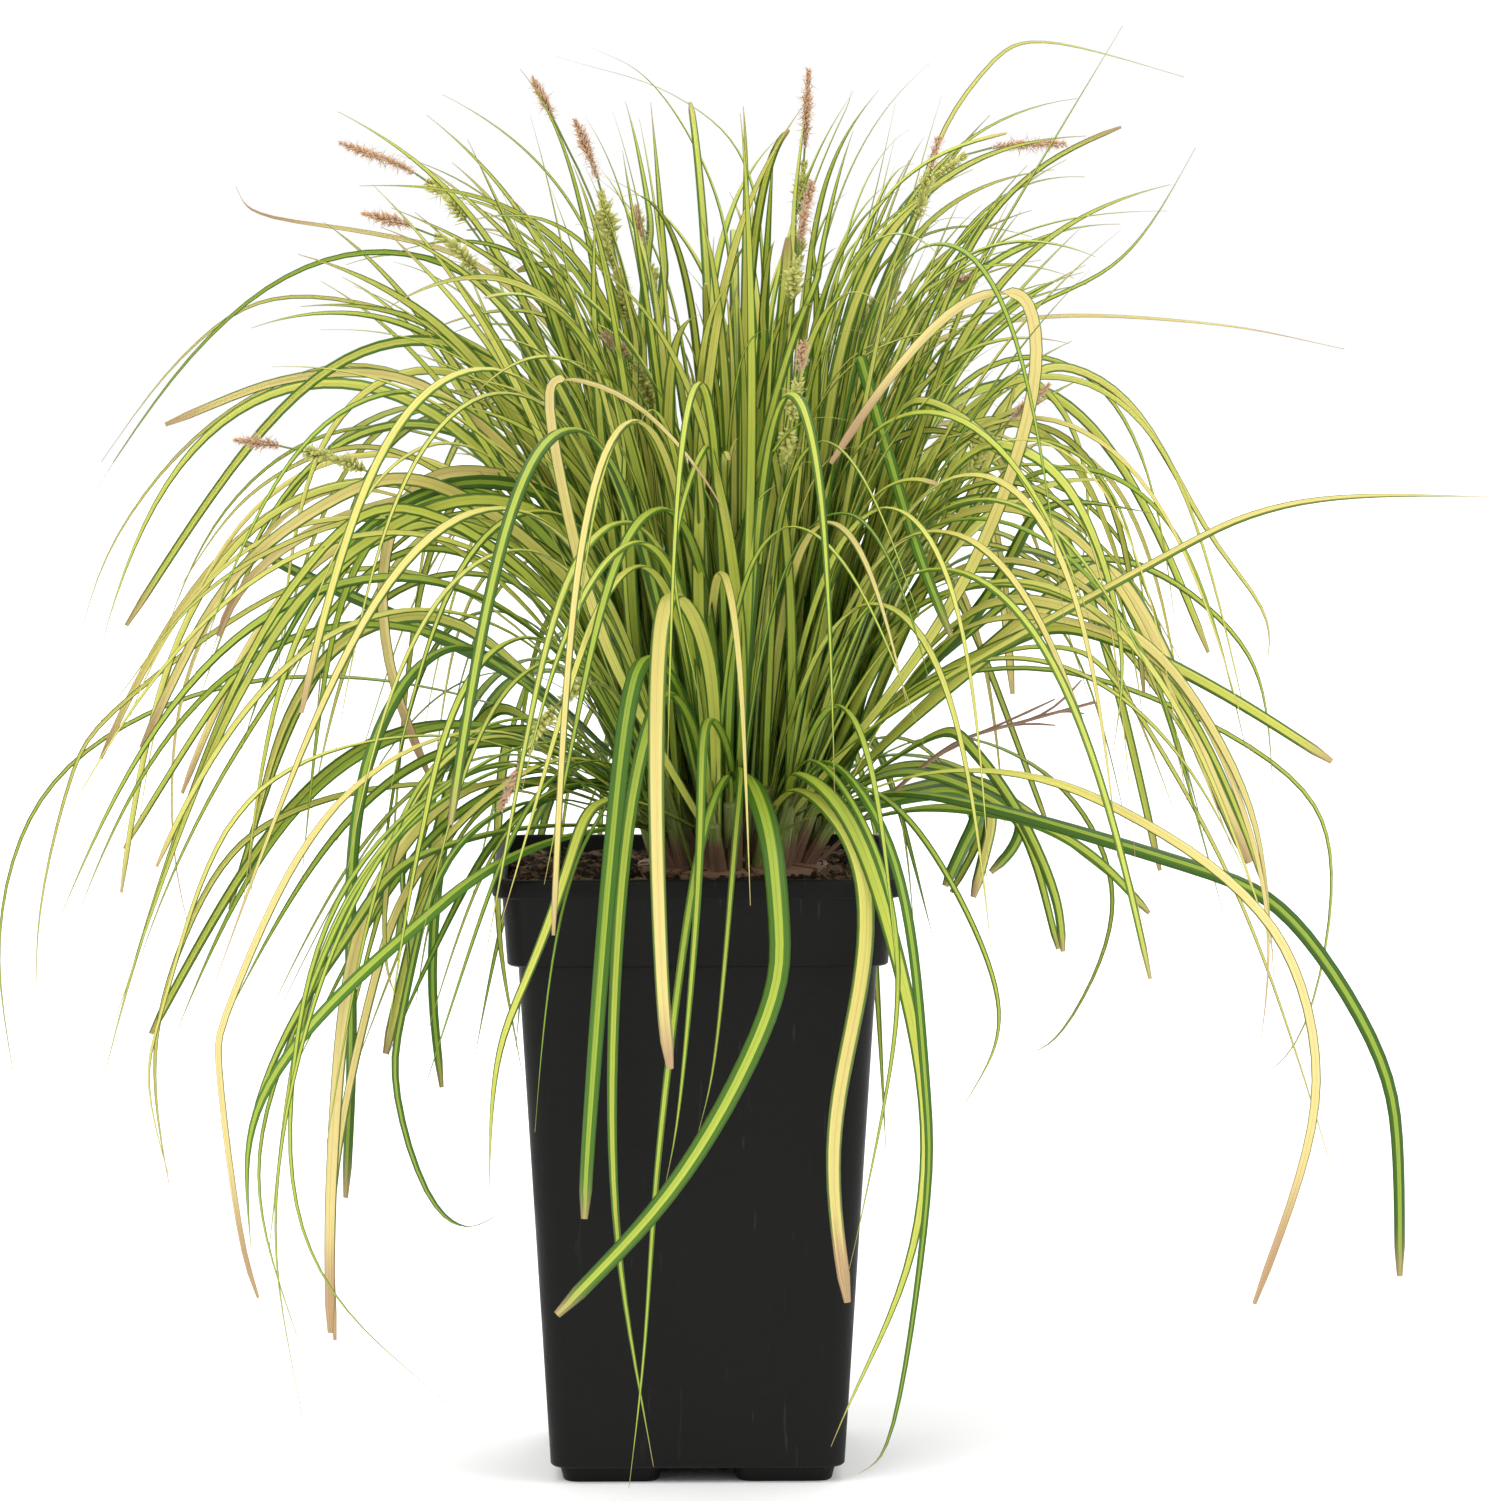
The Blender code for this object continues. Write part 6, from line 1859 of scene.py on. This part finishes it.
class SEDGE_OT_pot(bpy.types.Operator):
    """Make the pot's shell with its round corners and turned rim"""

    bl_idname = "sedge.pot"
    bl_label = "Pot"

    def execute(self, context):
        mesh = pot_mesh()
        smooth_by_angle(mesh, SHARP_EDGE)
        mesh.materials.clear()
        mesh.materials.append(plastic_material(context.scene.sedge_pot))
        add_piece("pot_shell", mesh, "pot_plastic", "pot")
        return {"FINISHED"}


class SEDGE_OT_soil(bpy.types.Operator):
    """Make the soil with bark chips, crumbs and fibres on it"""

    bl_idname = "sedge.soil"
    bl_label = "Soil"

    def execute(self, context):
        settings = context.scene.sedge_pot
        peat = soil_material("soil_peat", settings.peat, PALE_PEAT)
        bark = soil_material("soil_bark", settings.bark, PALE_BARK)
        tree = litter_tree()
        layers = (
            (settings.chips * CHIP_SHARE, CHIPS, bark),
            (settings.chips * CRUMB_SHARE, CRUMBS, peat),
            (float(settings.fibres), FIBRES, bark),
        )
        parts = [soil_mesh(peat)]
        for density, form, material in layers:
            parts.append(grown(litter_bed(), tree, density=density, material=material, **form))
        add_piece("soil_and_litter", joined(parts), "soil", "soil")
        return {"FINISHED"}


class SEDGE_OT_leaves(bpy.types.Operator):
    """Make the leaves of the eight tufts"""

    bl_idname = "sedge.leaves"
    bl_label = "Leaves"

    def execute(self, context):
        settings = context.scene.sedge_leaves
        blade, sheath = leaf_material(settings), sheath_material(settings)
        blades, tubes = blade_tree(), tube_tree()
        habits = (
            (core_leaf, settings.core_leaves),
            (outer_leaf, settings.outer_leaves),
            (fine_leaf, settings.fine_leaves),
        )
        form = {
            "keel": settings.keel,
            "thickness": settings.thickness,
            "profile_points": settings.profile_points,
        }
        for name, (low, high, _) in TUFTS.items():
            shoots, leaves = leaves_of(name)
            for habit, count in habits:
                leaves += added_leaves(name, shoots, habit, count)
            rng = random.Random(name + " looks")
            sections = settings.blade_sections
            ribs = [midrib(leaf, sections, looks_of(leaf, rng), rng.random()) for leaf in leaves]
            sheaths = [sheath_run(shoot, rng.random()) for shoot in shoots]
            parts = [
                grown(runs_mesh(name, ribs), blades, material=blade, **form),
                grown(runs_mesh(name, sheaths), tubes, sides=SHEATH_SIDES, material=sheath),
                crown_slice((low, high), sheath),
            ]
            add_piece(name.replace("tuft", "leaves"), joined(parts), "leaf", name)
        return {"FINISHED"}


class SEDGE_OT_flower_stems(bpy.types.Operator):
    """Make the flower stems with their green spikes"""

    bl_idname = "sedge.flower_stems"
    bl_label = "Flower stems"

    def execute(self, context):
        settings = context.scene.sedge_flowers
        culm = stem_material("flower_culm", settings.culm, DARK_CULM)
        grain = grain_material("flower_grain", settings.grain, GRAIN_TIP, 0.6)
        awn = grain_material("flower_awn", settings.grain, AWN_TIP, 0.7)
        culms, axes = [], []
        for number, (azimuth, route, brown, green_spikes) in enumerate(FLOWER_STEMS):
            path = stem_path(azimuth, route)
            end = lengths_of(path)[-1] - brown
            points = stretch_of(path, 0.0, end, CULM_STEPS)
            along = [k / CULM_STEPS for k in range(CULM_STEPS + 1)]
            culms.append(stem_run(points, CULM_RADIUS, CULM_TAPER, along, number / len(FLOWER_STEMS)))
            for below, length in green_spikes:
                axes.append(spike_run(path, end - below - length, end - below))
        spikes = spike_tree()
        spacing, length = settings.grain_spacing, settings.grain_length
        grains = {**GRAINS, "spacing": spacing, "length": length}
        awns = {**AWNS, "spacing": spacing * AWN_SPACING, "length": length * AWN_LENGTH}
        parts = [
            grown(runs_mesh("culms", culms), tube_tree(), sides=STEM_SIDES, material=culm),
            grown(runs_mesh("grains", axes), spikes, material=grain, **grains),
            grown(runs_mesh("awns", axes), spikes, material=awn, **awns),
        ]
        nodes = [f"flower_stem_{n + 1:02d}" for n in range(len(FLOWER_STEMS))]
        add_piece("flower_stems", joined(parts), "flower_stem", *nodes)
        return {"FINISHED"}


class SEDGE_OT_male_spikes(bpy.types.Operator):
    """Make the brown male spikes on the ends of the flower stems"""

    bl_idname = "sedge.male_spikes"
    bl_label = "Male spikes"

    def execute(self, context):
        settings = context.scene.sedge_flowers
        scale = grain_material("male_scale", settings.scale, SCALE_TIP, 0.7)
        anther = grain_material("male_anther", settings.anther, ANTHER_TIP, 0.75)
        axes = []
        for azimuth, route, brown, _ in FLOWER_STEMS:
            path = stem_path(azimuth, route)
            whole = lengths_of(path)[-1]
            axes.append(spike_run(path, whole - brown, whole))
        spikes = spike_tree()
        scales = {**SCALES, "spacing": SCALE_SPACING, "length": SCALE_LENGTH}
        anthers = {**ANTHERS, "spacing": settings.anther_spacing, "length": settings.anther_length}
        parts = [
            grown(runs_mesh("scales", axes), spikes, material=scale, **scales),
            grown(runs_mesh("anthers", axes), spikes, material=anther, **anthers),
        ]
        nodes = [f"male_spike_{n + 1:02d}" for n in range(len(FLOWER_STEMS))]
        add_piece("male_spikes", joined(parts), "male_spike", *nodes)
        return {"FINISHED"}


class SEDGE_OT_dead_stem(bpy.types.Operator):
    """Make last year's dry stem with its thin branches"""

    bl_idname = "sedge.dead_stem"
    bl_label = "Dry stem"

    def execute(self, context):
        azimuth, route = DEAD_STEM
        path = stem_path(azimuth, route)
        run = lengths_of(path)
        rng = random.Random("dry stem")
        points = stretch_of(path, 0.0, run[-1], DEAD_STEM_STEPS)
        runs = [stem_run(points, DEAD_STEM_RADIUS, DEAD_STEM_TAPER, 0.0, 0.3)]
        for k in range(BRANCHES):
            point, direction = place_at(path, run, run[-1] * (BRANCH_START + BRANCH_SPACING * k))
            out = Vector([rng.uniform(*limits) for limits in BRANCH_SPREADS]).normalized()
            reach = rng.uniform(*BRANCH_LENGTHS) if k < LONG_BRANCHES else SHORT_BRANCH
            runs.append(branch_run(point, direction, reach, out, rng.random()))
        dry = stem_material("dead_stem_dry", DRY_STEM, DARK_DRY_STEM)
        mesh = grown(runs_mesh("dry", runs), tube_tree(), sides=STEM_SIDES, material=dry)
        add_piece("dry_stem", mesh, "dead_stem", "dead_stem")
        return {"FINISHED"}


class SEDGE_PT_panel(bpy.types.Panel):
    """Lists the pieces and the settings"""

    bl_idname = "SEDGE_PT_panel"
    bl_label = "Sedge"
    bl_space_type = "VIEW_3D"
    bl_region_type = "UI"
    bl_category = "Sedge"

    def draw(self, context):
        for group, owner in SETTINGS.items():
            box = self.layout.box()
            settings = getattr(context.scene, group)
            for key in owner.__annotations__:
                box.prop(settings, key)
        for operator in OPERATORS:
            self.layout.operator(operator.bl_idname)


SETTINGS = {
    "sedge_stage": SedgeStageSettings,
    "sedge_pot": SedgePotSettings,
    "sedge_leaves": SedgeLeafSettings,
    "sedge_flowers": SedgeFlowerSettings,
}
OPERATORS = (
    SEDGE_OT_stage,
    SEDGE_OT_pot,
    SEDGE_OT_soil,
    SEDGE_OT_leaves,
    SEDGE_OT_flower_stems,
    SEDGE_OT_male_spikes,
    SEDGE_OT_dead_stem,
)
CLASSES = (*SETTINGS.values(), *OPERATORS, SEDGE_PT_panel)


def register():
    for item in CLASSES:
        bpy.utils.register_class(item)
    for group, owner in SETTINGS.items():
        setattr(bpy.types.Scene, group, PointerProperty(type=owner))


def unregister():
    for group in SETTINGS:
        delattr(bpy.types.Scene, group)
    for item in reversed(CLASSES):
        bpy.utils.unregister_class(item)


def main():
    register()
    bpy.ops.sedge.stage()
    bpy.ops.sedge.pot()
    bpy.ops.sedge.soil()
    bpy.ops.sedge.leaves()
    bpy.ops.sedge.flower_stems()
    bpy.ops.sedge.male_spikes()
    bpy.ops.sedge.dead_stem()


if __name__ == "__main__":
    main()
